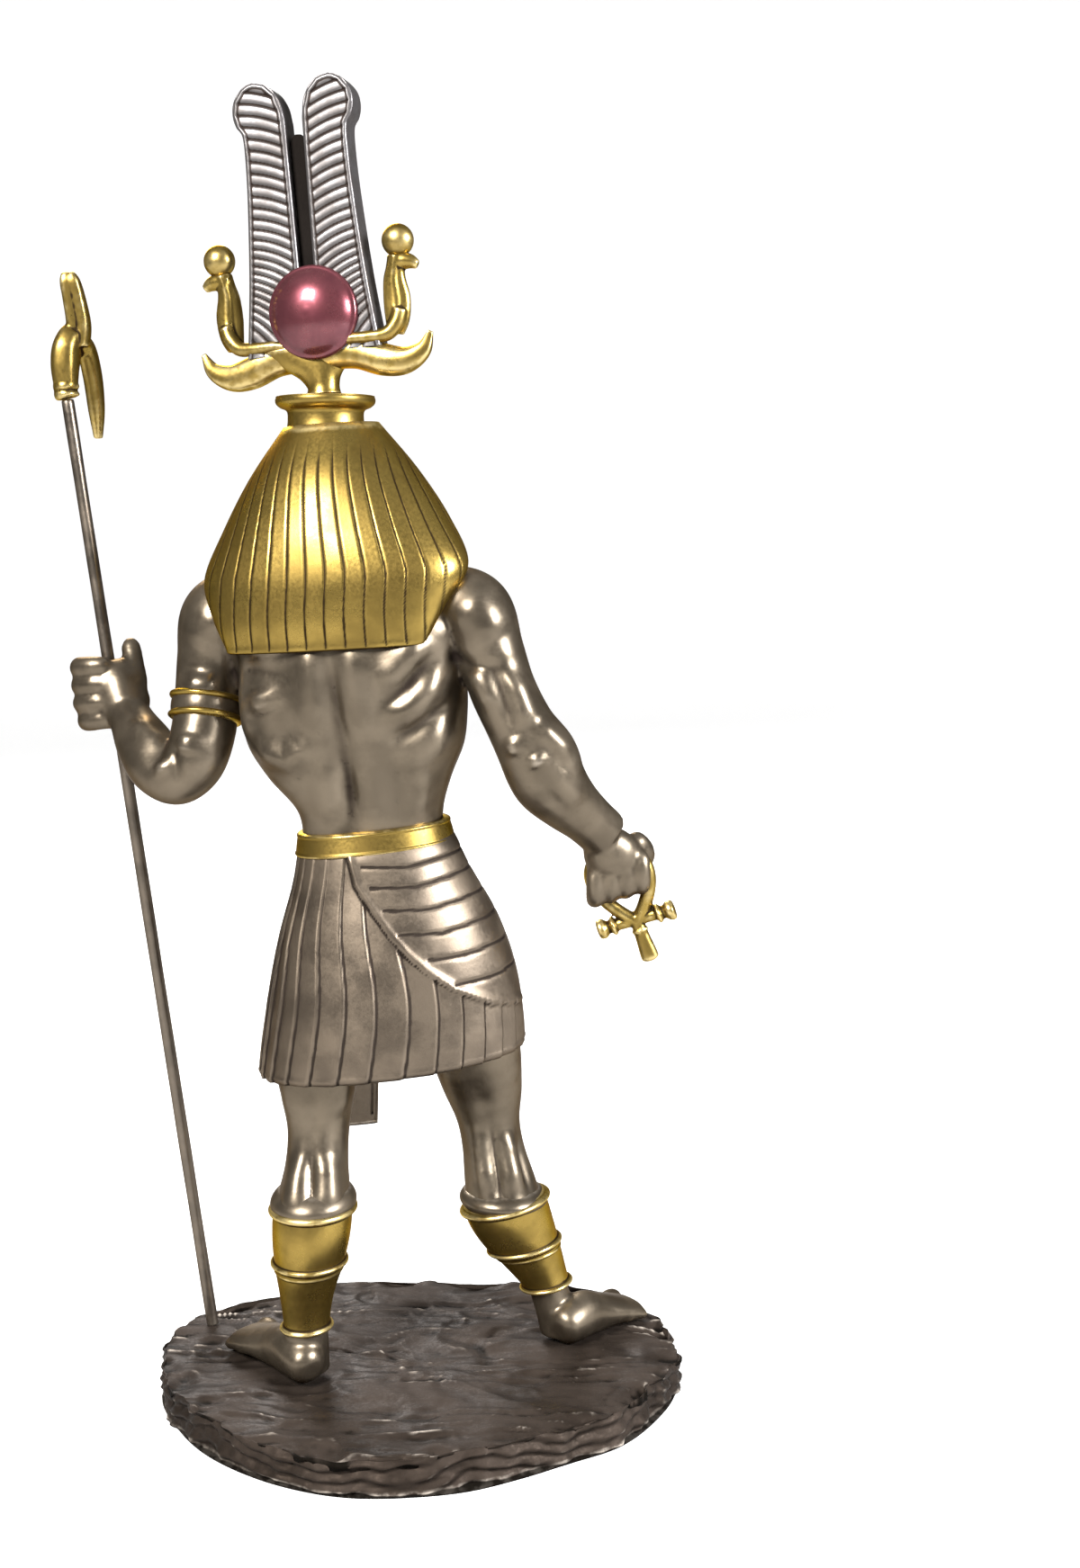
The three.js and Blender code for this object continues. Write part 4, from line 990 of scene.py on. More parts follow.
    def right_fist(self) -> list[Skin]:
        """Models the hanging fist: its back, four fingers curled under the loop and the thumb."""
        centre = self.right_hand
        knuckles = moved(centre, [(5, 5, 8), (3, 3.4, 4), (0.6, 1.8, -0.4), (-0.6, 0.4, -5)])
        back = rod_skin(knuckles, (5, 6.3, 7, 5.6), flat=0.78, across=(0, 1, 0))
        fingers = []
        for finger in range(4):
            out = (finger - 1.5) * 3.9
            curl = [(2.6, 0.8), (3.9, -3.2), (2.8, -7.2), (-1.2, -8.6), (-4.8, -7), (-5.6, -3.2),
                    (-3.4, -0.6)]
            path = moved(centre, [(-out * 0.96, y, z + out * 0.27) for y, z in curl])
            fingers.append(rod_skin(path, (2, 2.25, 2.35, 2.1, 2.15, 2, 1.7), across=(1, 0, 0)))
        thumb = rod_skin(
            moved(centre,
                  [(-3, 0.4, 5.6), (-6.4, -2, 1.8), (-6.6, -5.4, -1.6), (-3.4, -7.8, -3.4),
                   (-0.8, -8.2, -3.8)]),
            (2.8, 2.7, 2.3, 2.2, 1.6),
        )
        core = egg_skin(np.array(centre) + np.array([0, -1.2, -3.4]), (6.6, 4.2, 4.4))
        return [back, *fingers, thumb, core]

    def dress(self) -> None:
        """Melts the parts into one and models the muscles."""
        torso = self.torso.skin(160, 160)
        lump = [torso, LEFT_ARM.skin(72, 150), RIGHT_ARM.skin(72, 150), *self.left_fist(),
                *self.right_fist()]
        skin = fused(lump, self.voxel, 3)
        modelled(skin, self.back + self.front + self.right_strokes + self.left_strokes)
        skin.smooth(2)
        put("body", skin, BODY_COAT, "figure", depth=0.5, passes=10)


@dataclass(frozen=True)
class Leg:
    """One leg with its bare foot, its knee cuff and its greave.

    Args:
        side: left or right, as the start of the pieces' names.
        loft: the leg from the ankle up into the kilt.
        heel: place of the heel.
        yaw: direction of the foot in degrees.
        length: length of the foot.
        outward: 1 where the little toe is on the +X side.
        rims: places of the greave's ankle, middle and top rim, in stations.
        tilt: how much the greave's rings rise along X.
        strokes: the muscles.
    """

    side: str
    loft: Loft
    heel: tuple[float, float]
    yaw: float
    length: float
    outward: int
    rims: tuple[float, float, float]
    tilt: float
    strokes: tuple[Stroke, ...]
    sole: float = 9.3

    def place(self, along: float, out: float, rise: float) -> Point:
        """Gives a place on the foot, from its share of the length, the distance outward and the rise."""
        return yawed(self.heel, self.yaw, along * self.length, out * self.outward, self.sole + rise)

    def foot(self) -> list[Skin]:
        """Models the foot: heel, instep and ball along one path, then five toes with their nails."""
        shape = [
            (0, 0, 4.4, 2.6, 2.4), (0.05, 0, 4.8, 4.6, 4.6), (0.16, 0, 5.6, 5.4, 5.6),
            (0.3, 0.2, 5.8, 5.4, 5.9),
            (0.45, 0, 4.8, 5.9, 5), (0.6, 0, 3.9, 7, 4), (0.74, 0.2, 3, 7.6, 3.1),
            (0.84, 0.4, 2.4, 6.8, 2.5), (0.88, 0.4, 2.2, 4, 1.6),
        ]
        rows = tuple((*self.place(along, out, rise), wide, high, 0) for along, out, rise, wide,
                     high in shape)
        parts = [Loft(rows, Across.UP).skin(56, 90)]
        toes = ((-5, 1, 2.3), (-1.6, 0.985, 1.75), (1.3, 0.955, 1.6), (4, 0.92, 1.5), (6.4, 0.875, 1.45))
        for out, reach, radius in toes:
            path = [self.place(reach - 0.26, out * 0.88, 2.6), self.place(reach - 0.12, out, 2.5),
                    self.place(reach - 0.05, out * 1.02, 1.7), self.place(reach, out * 1.03, 1.5)]
            parts.append(rod_skin(path, (radius, radius * 1.04, radius * 0.96, radius * 0.8), sides=20,
                                  rings=20))
        return parts

    def cuff(self) -> Skin:
        """Makes the soft cuff that bulges over the greave's top rim."""
        low = self.rims[2] + 0.02
        places = np.linspace(low - 0.3, low + 0.42, 26)
        part = (places - places[0]) / (places[-1] - places[0])
        proud = -0.8 + 2.3 * np.sin(np.pi * part) ** 0.6
        return tube_skin(self.loft.grid(places, whole_turn(96), proud[:, None]))

    def greave(self) -> Skin:
        """Makes the greave: a thin sleeve with rounded rims at the ankle, below the calf and on top.

        The height over the shin is a low step between the first and the last rim, and at each
        rim a half circle of its own width.
        """
        ankle, middle, top = self.rims
        places = np.concatenate([np.linspace(ankle - 0.12, middle - 0.2, 45),
                                 np.linspace(middle - 0.19, top + 0.08, 70)])
        proud = np.full(len(places), 0.55)
        rims = (
            (ankle + 0.05, 0.1, 1.5), (middle, 0.12, 1.5), (middle - 0.26, 0.05, 0.85),
            (top - 0.14, 0.14, 1.75),
        )
        for centre, half, rise in rims:
            round_rim = rise * np.sqrt(np.clip(1 - ((places - centre) / half) ** 2, 0, 1))
            proud = np.maximum(proud, round_rim)
        ends = np.minimum(step(places, places[0], places[0] + 0.06),
                          step(-places, -places[-1], -places[-1] + 0.06))
        proud = -1.2 + (proud + 1.2) * ends
        loft = Loft(self.loft.stations, Across.LEVEL, 1.0, self.tilt)
        return tube_skin(loft.grid(places, whole_turn(96), proud[:, None]))

    def dress(self) -> None:
        """Models the leg and puts its cuff and its greave on."""
        skin = fused([self.loft.skin(96, 200), *self.foot()], 0.54, 2)
        modelled(skin, self.strokes)
        skin.points[:, 2] = np.maximum(skin.points[:, 2], self.sole)
        put(f"{self.side}_leg", skin.smooth(1), BODY_COAT, "figure", depth=0.5, passes=10)
        put(f"{self.side}_knee_cuff", self.cuff(), BODY_COAT, "figure")
        put(f"{self.side}_greave", self.greave(), GOLD_COAT, "figure", depth=0.09)


LEGS = (
    Leg("left", LEFT_LEG, (24.8, 15), 35, 38, 1, (1.7, 4.2, 6), 0.0, (
        Stroke(((24, 13, 72), (24, 15.4, 64), (23.6, 18, 54), (24, 18.6, 46)), 1.7, -1.4),
        Stroke(((22.7, 13.6, 86), (23, 13, 78), (23, 12.6, 70)), 2.4, -1),
        Stroke(((27.6, 13.6, 68), (28, 15.6, 60), (28, 17, 50)), 3.4, 1.5),
        Stroke(((19.4, 13.6, 68), (19.4, 15.4, 60), (19.6, 17, 52)), 3.2, 1.4),
        Stroke(((17.6, 10, 88), (17.4, 10, 80), (17.8, 10, 74)), 2.6, 1),
        Stroke(((28.4, 10, 88), (28.2, 10, 80), (27.6, 10, 74)), 2.6, 1),
        Stroke(((23, -6, 76), (23, -4.4, 70)), 3.6, 1.1),
    )),
    Leg("right", RIGHT_LEG, (-34.4, -5.6), -39, 32.5, -1, (1.9, 3.5, 5.3), -0.2, (
        Stroke(((-18, -5.4, 70), (-19, -4, 62), (-20.4, -1.6, 52), (-22, -1, 44)), 1.7, -1.4),
        Stroke(((-14.4, -6, 68), (-15, -4.6, 60), (-16.6, -2, 50)), 3.2, 1.4),
        Stroke(((-22, -7.4, 67), (-23.4, -5.4, 60), (-24.8, -2.8, 50)), 2.8, 1.3),
        Stroke(((-24.8, -9.4, 64), (-26, -7.6, 58), (-27.4, -5, 49)), 1.5, -1),
        Stroke(((-14.6, -3, 86), (-15.8, -4, 78), (-17, -5, 70)), 2.4, -1),
        Stroke(((-10, -4, 88), (-11.6, -4.6, 78)), 2.8, 1),
        Stroke(((-21.6, -6, 86), (-22, -7, 77)), 2.8, 1),
        Stroke(((-17.4, -22.4, 73), (-18, -22.6, 67)), 3.6, 1.1),
    )),
)


@dataclass(frozen=True)
class Kilt:
    """The pleated kilt with its wrapped-over panel, its belt and the flap in front."""

    tilt: float = -0.086
    pleats: int = 28
    fold: float = 0.75
    stations: tuple[tuple[float, ...], ...] = (
        (5.1, 0, 90, 28.4, 19, 10), (5, 0, 87.8, 31.6, 22, 10), (4.6, 0, 104, 29.8, 20.8, 10),
        (5.4, 0, 119, 25.9, 18.4, 9),
        (7, 0, 132.5, 20.6, 15.4, 8), (8.2, 0, 142.5, 17.9, 13.4, 8),
    )
    edge: tuple[Point, ...] = (
        (14.4, 13.6, 144), (13.6, 14.2, 139), (11.8, 15.4, 132), (8.6, 16.6, 127), (4.4, 17.8, 121),
        (0.4, 18.2, 116),
        (-4, 17.6, 112), (-10, 16, 107.4), (-19, 11, 102.7), (-25, 1, 101),
    )
    creases: tuple[tuple[Point, ...], ...] = (
        ((10, 0, 136.4), (0, 0, 136), (-14, 0, 138.6)),
        ((8, 0, 131.6), (-2, 0, 131.4), (-16, 0, 134.4)),
        ((5, 0, 126.4), (-5, 0, 126.2), (-19, 0, 129)),
        ((1.6, 0, 120.8), (-8, 0, 120.6), (-22, 0, 123.4)),
        ((-5, 0, 114.8), (-13, 0, 115), (-25, 0, 117.4)),
        ((-11, 0, 108.6), (-19, 0, 109), (-28, 0, 111.2)),
    )

    def skirt(self) -> Skin:
        """Works out the skirt on its rings.

        Each knife pleat rises slowly over its width and drops in a twelfth of it, where it is
        painted dark with wash and painted shade. The pleats fade under the belt. The panel on the
        back lies over them by a cloth's thickness, with a rolled edge and shallow creases, and
        painted shade lies on the pleats beside its edge and in its creases.
        """
        loft = Loft(self.stations, Across.LEVEL, 0.94, self.tilt)
        sides = self.pleats * detail(16)
        angles = whole_turn(sides)
        places = np.concatenate([np.linspace(0, 1, 8)[:-1], np.linspace(1, 5, 104)])
        plain = loft.grid(places, angles)
        flat = plain.reshape(-1, 3)
        shape = plain.shape[:2]
        sway = 0.1 * np.sin(places * 2.3)[:, None] + 0.12 * np.sin(angles * 3)[None]
        part = np.mod(angles[None] * self.pleats / (2 * math.pi) + sway, 1.0)
        saw = np.where(part < 0.9, part / 0.9, (1 - part) / 0.1)
        cut = bell(np.minimum(part, 1 - part), 0.045)
        fade = 0.35 + 0.65 * step(5 - places, 0.0, 2.4)[:, None]
        path = np.array(self.edge)
        edge_x = np.interp(flat[:, 2], path[::-1, 2], path[::-1, 0])
        away = Stroke(self.edge, 1, 1).distance(flat)
        inside = (flat[:, 0] < edge_x) & (flat[:, 2] > 101) & (flat[:, 1] > -6)
        signed = np.where(inside, away, -away).reshape(shape)
        side = step(flat[:, 1].reshape(shape), -6, 2)
        over = step(signed, -0.2, 0.7) * side
        roll = bell(signed - 0.9, 0.8) * side
        upright = flat * np.array([1, 0, 1])
        folds = sum(bell(Stroke(crease, 1, 1).distance(upright), 0.4)
                    for crease in self.creases).reshape(shape)
        under_belt = step(5 - places, 0.0, 0.5)[:, None]
        proud = under_belt * (self.fold * saw * fade * (1 - over) + 0.75 * over
                              + 0.4 * roll - 0.35 * folds * over)
        hem = bell(places - 1.06, 0.05)[:, None]
        proud = proud + 0.2 * hem
        # Painted shade: dark in the pleat cuts, partly as wash, on the pleats just outside the panel's
        # edge, and in the panel's creases.
        wash_and_shade = 0.9 * cut * (1 - over) * fade + 0.7 * bell(signed + 0.3, 0.4) * side + 0.85 * folds * over
        return tube_skin(loft.grid(places, angles, proud), np.clip(wash_and_shade, 0, 1))

    def belt(self) -> Skin:
        """Makes the belt: a band with a rolled edge above and below, following the waist."""
        waist = (
            (8, 0, 138.8, 18.3, 13.9, 8), (8.2, 0, 141.6, 17.8, 13.4, 7.5), (8.4, 0, 144.4, 17.2, 12.9, 7),
        )
        loft = Loft(waist, Across.LEVEL, 0.94, self.tilt)
        part = np.linspace(0, 1, 44)
        edge = np.minimum(part, 1 - part)
        rolls = 1.05 * np.sqrt(np.clip(1 - ((edge - 0.12) / 0.12) ** 2, 0, 1))
        proud = np.where(edge < 0.12, rolls, np.maximum(rolls, 0.85)) - 0.6 * (edge <= 0)
        angles = whole_turn(168)
        return tube_skin(loft.grid(part * 2, angles, proud[:, None]))

    def flap(self) -> Skin:
        """Makes the flap in front: a flat tongue that widens downward, with two long pleats."""
        rows = (
            (10.4, -13.4, 141, 3.6, 2, 10), (11.4, -17.4, 124, 3.9, 2, 12), (13, -21, 106, 4.2, 2, 14),
            (14.8, -23.6, 90, 4.5, 2, 16),
            (15.8, -24.6, 70, 4.7, 1.9, 16), (16.2, -24.6, 62.4, 4.8, 1.6, 16),
        )

        def pleats(angle: Array, place: Array) -> Array:
            """Cuts two upright lines on each face, a little off its middle."""
            return -0.3 * bell(np.abs(np.cos(angle)) - 0.4, 0.09) * (place > 0.4)

        return Loft(tuple(reversed(rows)), Across.LEVEL, 0.45).skin(120, 64, pleats)

    def dress(self) -> None:
        """Makes the kilt, the belt and the flap."""
        put("kilt", self.skirt(), CLOTH_COAT, "figure", depth=0.5, passes=3)
        put("kilt_belt", self.belt(), GOLD_COAT, "figure")
        put("kilt_flap", self.flap(), CLOTH_COAT, "figure")


@dataclass(frozen=True)
class Armband:
    """The bronze band round the left upper arm, between two gold rings."""

    rings: tuple[float, float] = (3.05, 3.6)
    half: float = 0.115

    def around(self, low: float, high: float, rise: float, power: float) -> Skin:
        """Makes a band between two places of the arm, rounded across by a power of a half circle."""
        places = np.linspace(low, high, 26)
        part = (places - low) / (high - low) * 2 - 1
        proud = -0.5 + (rise + 0.5) * np.clip(1 - part**2, 0, 1) ** power
        return tube_skin(LEFT_ARM.grid(places, whole_turn(96), proud[:, None]))

    def dress(self) -> None:
        """Puts the band and its two rings on the arm."""
        upper, lower = self.rings
        put("armband_upper_ring", self.around(upper - self.half, upper + self.half, 1.25, 0.5), GOLD_COAT,
            "figure")
        put("armband", self.around(upper, lower, 0.75, 0.25), BODY_COAT, "figure")
        put("armband_lower_ring", self.around(lower - self.half, lower + self.half, 1.25, 0.5), GOLD_COAT,
            "figure")


@dataclass(frozen=True)
class Headcloth:
    """The grooved headcloth, its two lappets, the band round the face and the collar drum on top."""

    yaw: float = -14.0
    spacing: tuple[float, float] = (4.6, 2.95)
    depth: float = 0.24
    top: Point = (17.6, -3, 245)
    stations: tuple[tuple[float, ...], ...] = (
        (17.2, 14, 186.8, 23.4, 6.6, -12), (16.8, 11.8, 195, 27.6, 9.8, -12),
        (15.3, 7.2, 204.4, 31.6, 14.6, -12),
        (15.3, 2.6, 215.4, 27.2, 16.8, -13), (15.9, -0.8, 227, 20.2, 15.2, -14),
        (16.4, -3, 238.4, 11.4, 9.6, -14),
    )

    def cloth(self) -> Skin:
        """Works out the cloth: rings with fine upright grooves that fade out under the drum.

        The grooves are spaced evenly along each ring from the middle of the back, wider apart
        from the drum down to the widest ring and straight down below it. A groove is a bell-shaped
        cut with a light lip on either side, painted dark in it with wash and painted shade. Painted
        shade also lies along the hem, where the cloth meets the back.
        """
        loft = Loft(self.stations, Across.LEVEL, 1.0, -0.05)
        sides = detail(600)
        angles = whole_turn(sides)
        places = np.concatenate([[0, 0.01, 0.025, 0.045], np.linspace(0.08, 5, 58)])
        plain = loft.grid(places, angles)
        steps = np.linalg.norm(np.roll(plain, -1, axis=1) - plain, axis=2)
        length = np.cumsum(steps, axis=1) - steps
        length = length - length[:, sides // 4][:, None]
        length = np.where(angles[None] > 1.5 * math.pi, length - steps.sum(axis=1, keepdims=True), length)
        low, high = self.spacing
        rise = np.clip((loft.rows(places)[:, 2:3] - 204) / 32, 0, 1)
        pitch = low + (high - low) * rise
        away = (np.mod(length / pitch, 1.0) - 0.5) * pitch
        cut = bell(away, 0.22)
        lip = bell(np.abs(away) - 0.75, 0.45)
        fade = step(5 - places, 0.15, 1.1)[:, None] * step(places, 0.02, 0.12)[:, None]
        hem = -0.9 * bell(places, 0.02)[:, None] + 0.2 * bell(places - 0.1, 0.06)[:, None]
        proud = fade * (0.02 * lip - self.depth * cut) + hem
        # Painted shade: dark in the grooves, partly as wash, and along the hem where the cloth meets the
        # back.
        wash_and_shade = np.clip(fade * cut * 1.1 + 0.7 * bell(places, 0.03)[:, None], 0, 1)
        return tube_skin(loft.grid(places, angles, proud), wash_and_shade)

    def lappet(self, side: int) -> Skin:
        """Makes a lappet over the chest, flat, ribbed across, and narrowing downward."""
        rows = []
        shape = (
            (15, 2, 210, 5, 3.4), (15.4, 8.6, 203, 5.6, 3), (14.4, 13.6, 195, 5.8, 2.4),
            (13.2, 16.6, 186, 5.6, 1.9), (12.4, 18, 176, 5.2, 1.7), (12.2, 18, 172.6, 5, 1.5),
        )
        for out, ahead, height, wide, thick in shape:
            x, y, z = yawed((14, 0.6), self.yaw, ahead, out * side, height)
            rows.append((x, y, z, wide, thick, self.yaw + side * 18))

        def ribs(angle: Array, place: Array) -> Array:
            """Cuts a line across the lappet more than four times from one station to the next."""
            return -0.28 * bell(np.mod(place * 4.4, 1) - 0.5, 0.16) * (place > 0.5)

        return Loft(tuple(reversed(rows)), Across.LEVEL, 0.6).skin(72, 110, ribs)

    def face_band(self) -> Skin:
        """Makes the band where the face leaves the cloth: a flat tube round an upright oval."""
        turn = np.linspace(0, 2 * math.pi, 97)[:-1]
        ahead = 8.6 - 4.4 * np.clip(np.sin(turn), 0, 1)
        out, height = 12.4 * np.cos(turn), 221 + 12.2 * np.sin(turn)
        path = np.array([yawed((15, -6), self.yaw, a, o, h) for a, o, h in zip(ahead, out, height)])
        along = np.roll(path, -1, axis=0) - np.roll(path, 1, axis=0)
        along /= np.linalg.norm(along, axis=1, keepdims=True)
        outward = path - path.mean(axis=0)
        outward -= (outward * along).sum(axis=1, keepdims=True) * along
        outward /= np.linalg.norm(outward, axis=1, keepdims=True)
        forward = np.cross(along, outward)
        angles = whole_turn(24)
        wide = 1.5 * np.cos(angles)[None, :, None] * outward[:, None]
        deep = 2.2 * np.sin(angles)[None, :, None] * forward[:, None]
        return hoop_skin(path[:, None] + wide + deep)

    def drum(self) -> Skin:
        """Turns the collar drum with its flange on top."""
        profile = rounded([(8.8, 236), (9.2, 237), (8.9, 239.6), (9.1, 241.6), (10.6, 242.4), (11.5, 243.2),
                           (11.7, 244),
                           (11.5, 244.7), (10.8, 245), (4, 245)])
        shift = np.array([self.top[0], self.top[1], 0])
        return lathe_skin(profile, 96, lambda flat: flat + shift)

    def dress(self) -> None:
        """Makes the cloth, both lappets, the face band and the drum."""
        put("headcloth", self.cloth(), GOLD_COAT, "figure", depth=0.3, passes=3)
        put("left_lappet", self.lappet(1), GOLD_COAT, "figure")
        put("right_lappet", self.lappet(-1), GOLD_COAT, "figure")
        put("face_band", self.face_band(), GOLD_COAT, "figure")
        put("crown_drum", self.drum(), GOLD_COAT, "figure")


@dataclass(frozen=True)
class CrocodileHead:
    """The crocodile's head: long jaws, eyes under brows, nostrils, teeth and rows of scales."""

    centre: tuple[float, float] = (15, -6)
    yaw: float = -14.0

    def at(self, ahead: float, out: float, height: float) -> Point:
        """Gives a place on the head from its distance ahead, out to a side, and its height."""
        return yawed(self.centre, self.yaw, ahead, out, height)

    def jaw(self, rows: Sequence[Sequence[float]], power: float) -> Skin:
        """Makes one jaw from rows of ahead, height, half width and half height."""
        stations = tuple((*self.at(ahead, 0, height), wide, high, 0) for ahead, height, wide, high in rows)
        return Loft(stations, Across.UP, power).skin(72, 120)

    def parts(self) -> list[Skin]:
        """Lists the closed parts that melt into the head."""
        upper = self.jaw([(-2, 222, 11, 11), (8, 222.6, 11.4, 10), (15, 222.4, 10.6, 8), (21, 221, 8.6, 6),
                          (29, 219.2, 6.8, 4.6),
                          (38, 217.8, 6, 3.7), (45, 217.4, 6.2, 3.8), (49, 217.4, 5.4, 3.4),
                          (51, 217, 2.6, 1.8)], 0.9)
        lower = self.jaw([(0, 213, 8.4, 7), (10, 212.6, 8, 5.4), (20, 213, 6.8, 3.6), (32, 213.2, 5.2, 2.4),
                          (43, 213.6, 4.8, 2.1),
                          (47.4, 213.8, 3.4, 1.5)], 0.9)
        parts = [upper, lower]
        yaw = math.radians(self.yaw)
        for side in (-1, 1):
            parts.append(egg_skin(self.at(11, side * 6.8, 230), (2.6, 4.8, 2.9), yaw))
            parts.append(egg_skin(self.at(14, side * 8, 228.6), (1.9, 2.4, 2), yaw))
            parts.append(egg_skin(self.at(47, side * 2.4, 220.4), (1.8, 2.3, 1.6), yaw))
            for tooth in range(9):
                ahead = 21 + tooth * 3.1
                out = side * (6.7 - 0.34 * tooth + 0.3 * math.sin(tooth * 1.9))
                rise = 215.6 if tooth % 2 else 214.8
                parts.append(egg_skin(self.at(ahead, out, rise), (0.75, 0.85, 1.9), yaw, 12))
            for scute in range(8):
                ahead = 18 + scute * 3.4
                height = 226.6 - 0.9 * scute + 0.05 * scute**2
                parts.append(egg_skin(self.at(ahead, side * (2.5 - 0.1 * scute), height - 1.1),
                                      (1.3, 1.4, 1), yaw, 12))
        return parts

    def dress(self) -> None:
        """Melts the parts into one head and cuts the mouth line, the eyelids and the nostrils."""
        skin = fused(self.parts(), 0.46, 2)
        strokes = []
        for side in (-1, 1):
            mouth = [self.at(ahead, side * out, height) for ahead, out, height in
                     ((10, 10.4, 216.4), (20, 7.6, 215.8), (30, 6, 215.2), (40, 5.4, 214.8),
                      (47, 4.6, 215))]
            strokes.append(Stroke(tuple(mouth), 0.6, -0.6))
            lid = [
                self.at(14 + 2.2 * math.cos(turn), side * 9.6, 228.8 + 1.7 * math.sin(turn))
                for turn in np.linspace(0, 2 * math.pi, 9)
            ]
            strokes.append(Stroke(tuple(lid), 0.4, -0.35))
            strokes.append(Stroke((self.at(48, side * 2.6, 222),), 0.8, -0.8))
        modelled(skin, strokes)
        put("crocodile_head", skin, SCALE_COAT, "figure", depth=0.08)


# The crown


@dataclass(frozen=True)
class Crown:
    """The tall crown: two plumes with a web between, the sun disc, the horns and two cobras with discs."""

    foot: Point = (17.6, -3, 245)
    yaw: float = -13.0
    lean: float = 3.8
    middle: float = 0.8
    half: float = 3.5
    pitch: float = 2.6
    disc: Point = (-0.1, 263.9, 11.0)
    inner: tuple[tuple[float, float], ...] = ((255, 1.7), (300, 2.1), (309, 2.4), (313.4, 3.8),
                                              (315.8, 6.2), (316.3, 7.8), (316.5, 9.2))
    outer: tuple[tuple[float, float], ...] = (
        (255, 16.2), (272, 14.2), (290, 12.8), (300, 12.4), (305, 12.6), (307.2, 13.9), (310, 14.5),
        (313, 13.9), (315.4, 12),
        (316.3, 10.4), (316.5, 9.2),
    )

    def on(self, flat: Array) -> Array:
        """Carries flat places, with x across, y out of the back and z up, onto the leaning crown."""
        flat = np.asarray(flat, dtype=float)
        lean, yaw = math.radians(self.lean), math.radians(self.yaw)
        up = flat[..., 2] - self.foot[2]
        leaned = flat[..., 0] * math.cos(lean) + up * math.sin(lean)
        raised = up * math.cos(lean) - flat[..., 0] * math.sin(lean)
        x = self.foot[0] + leaned * math.cos(yaw) - flat[..., 1] * math.sin(yaw)
        y = self.foot[1] + leaned * math.sin(yaw) + flat[..., 1] * math.cos(yaw)
        return np.stack([x, y, self.foot[2] + raised], axis=-1)

    def limb(self, rows: Sequence[Sequence[float]], sides: int, rings: int, relief: Outline | None = None,
             power: float = 1.0,
             across: Across = Across.BACK) -> Skin:
        """Makes a limb on the crown from rows of across, back, height, half width and half depth."""
        stations = tuple((*self.on(np.array(row[:3])), row[3], row[4], 0) for row in rows)
        return Loft(stations, across, power).skin(sides, rings, relief)

    def edge(self, table: Sequence[tuple[float, float]], height: Array) -> Array:
        """Gives the place across of a plume's edge at each height, smooth between its points."""
        rows = np.array(table)
        dense = smooth_rows(rows, np.linspace(0, len(rows) - 1, 400))
        return np.interp(height, np.maximum.accumulate(dense[:, 0]), dense[:, 1])

    def plume(self, side: int) -> Skin:
        """Works out one plume as level rings.

        Each ring is a rectangle with rounded corners between the inner and the outer edge. On
        both faces the rim stands as high as the walls, the field inside it lies a step lower, and
        the barbs rise outward in it, parted by narrow cuts. Near the disc they fan out steeper.
        """
        rows = detail(226)
        steps = 1 - (1 - np.linspace(0, 1, rows)) ** 1.25
        height = 255 + 61.49 * steps
        left, right = self.edge(self.inner, height), self.edge(self.outer, height)
        face = detail(52)
        part = np.concatenate([np.linspace(0, 1, face), np.full(7, 1.0), np.linspace(1, 0, face),
                               np.zeros(7)])
        wall = np.linspace(1, -1, 9)[1:-1]
        deep = np.concatenate([np.full(face, 1.0), wall, np.full(face, -1.0), -wall])
        across = left[:, None] + (right - left)[:, None] * part[None]
        tall = np.broadcast_to(height[:, None], across.shape)
        outline = [(x, z, 0.0) for z, x in self.inner] + [(x, z, 0.0) for z, x in reversed(self.outer[:-1])]
        flat = np.stack([across.ravel(), tall.ravel(), np.zeros(across.size)], axis=1)
        rim = Stroke(tuple(outline), 1, 1).distance(flat).reshape(across.shape)
        on_face = (np.abs(deep) > 0.999)[None] * np.ones_like(across)
        slope = 0.34 + 0.75 * bell(tall - 262, 13)
        bow = 0.022 * (across - 7) ** 2
        phase = np.mod((tall - slope * (across - 2) + bow) / self.pitch, 1.0)
        line = bell(np.minimum(phase, 1 - phase) * self.pitch, 0.27)
        barb = 0.16 * np.sin(np.pi * phase)
        field_part = step(rim, 0.75, 1.15)
        corner = 0.35 * bell(rim, 0.35)
        proud = on_face * (field_part * (barb - 0.3 - 0.3 * line) - corner)
        # Painted shade: dark in the barb cuts, partly as wash, and along the foot of the rim inside the
        # field.
        wash_and_shade = on_face * np.clip(field_part * line * 0.95 + 0.75 * bell(rim - 1.2, 0.25), 0, 1)
        grid = np.stack([self.middle + side * across, deep[None] * (self.half + proud), tall], axis=-1)
        return tube_skin(self.on(grid), wash_and_shade)

    def web(self) -> Skin:
        """Makes the recessed strip between the plumes, rounded on top, painted nearly black all over as
        painted shade.
        """
        widths = ((252, 1.9), (290, 2.1), (301, 2.2), (303.4, 1.9), (304.4, 0.8))
        stations = tuple((*self.on(np.array((self.middle, 0, z))), wide, 1.1, self.yaw) for z,
                         wide in widths)
        skin = Loft(stations, Across.LEVEL, 0.6).skin(40, 80)
        # Painted shade: the whole strip is marked dark.
        skin.wash_and_shade = np.full(len(skin.points), 0.9)
        return skin

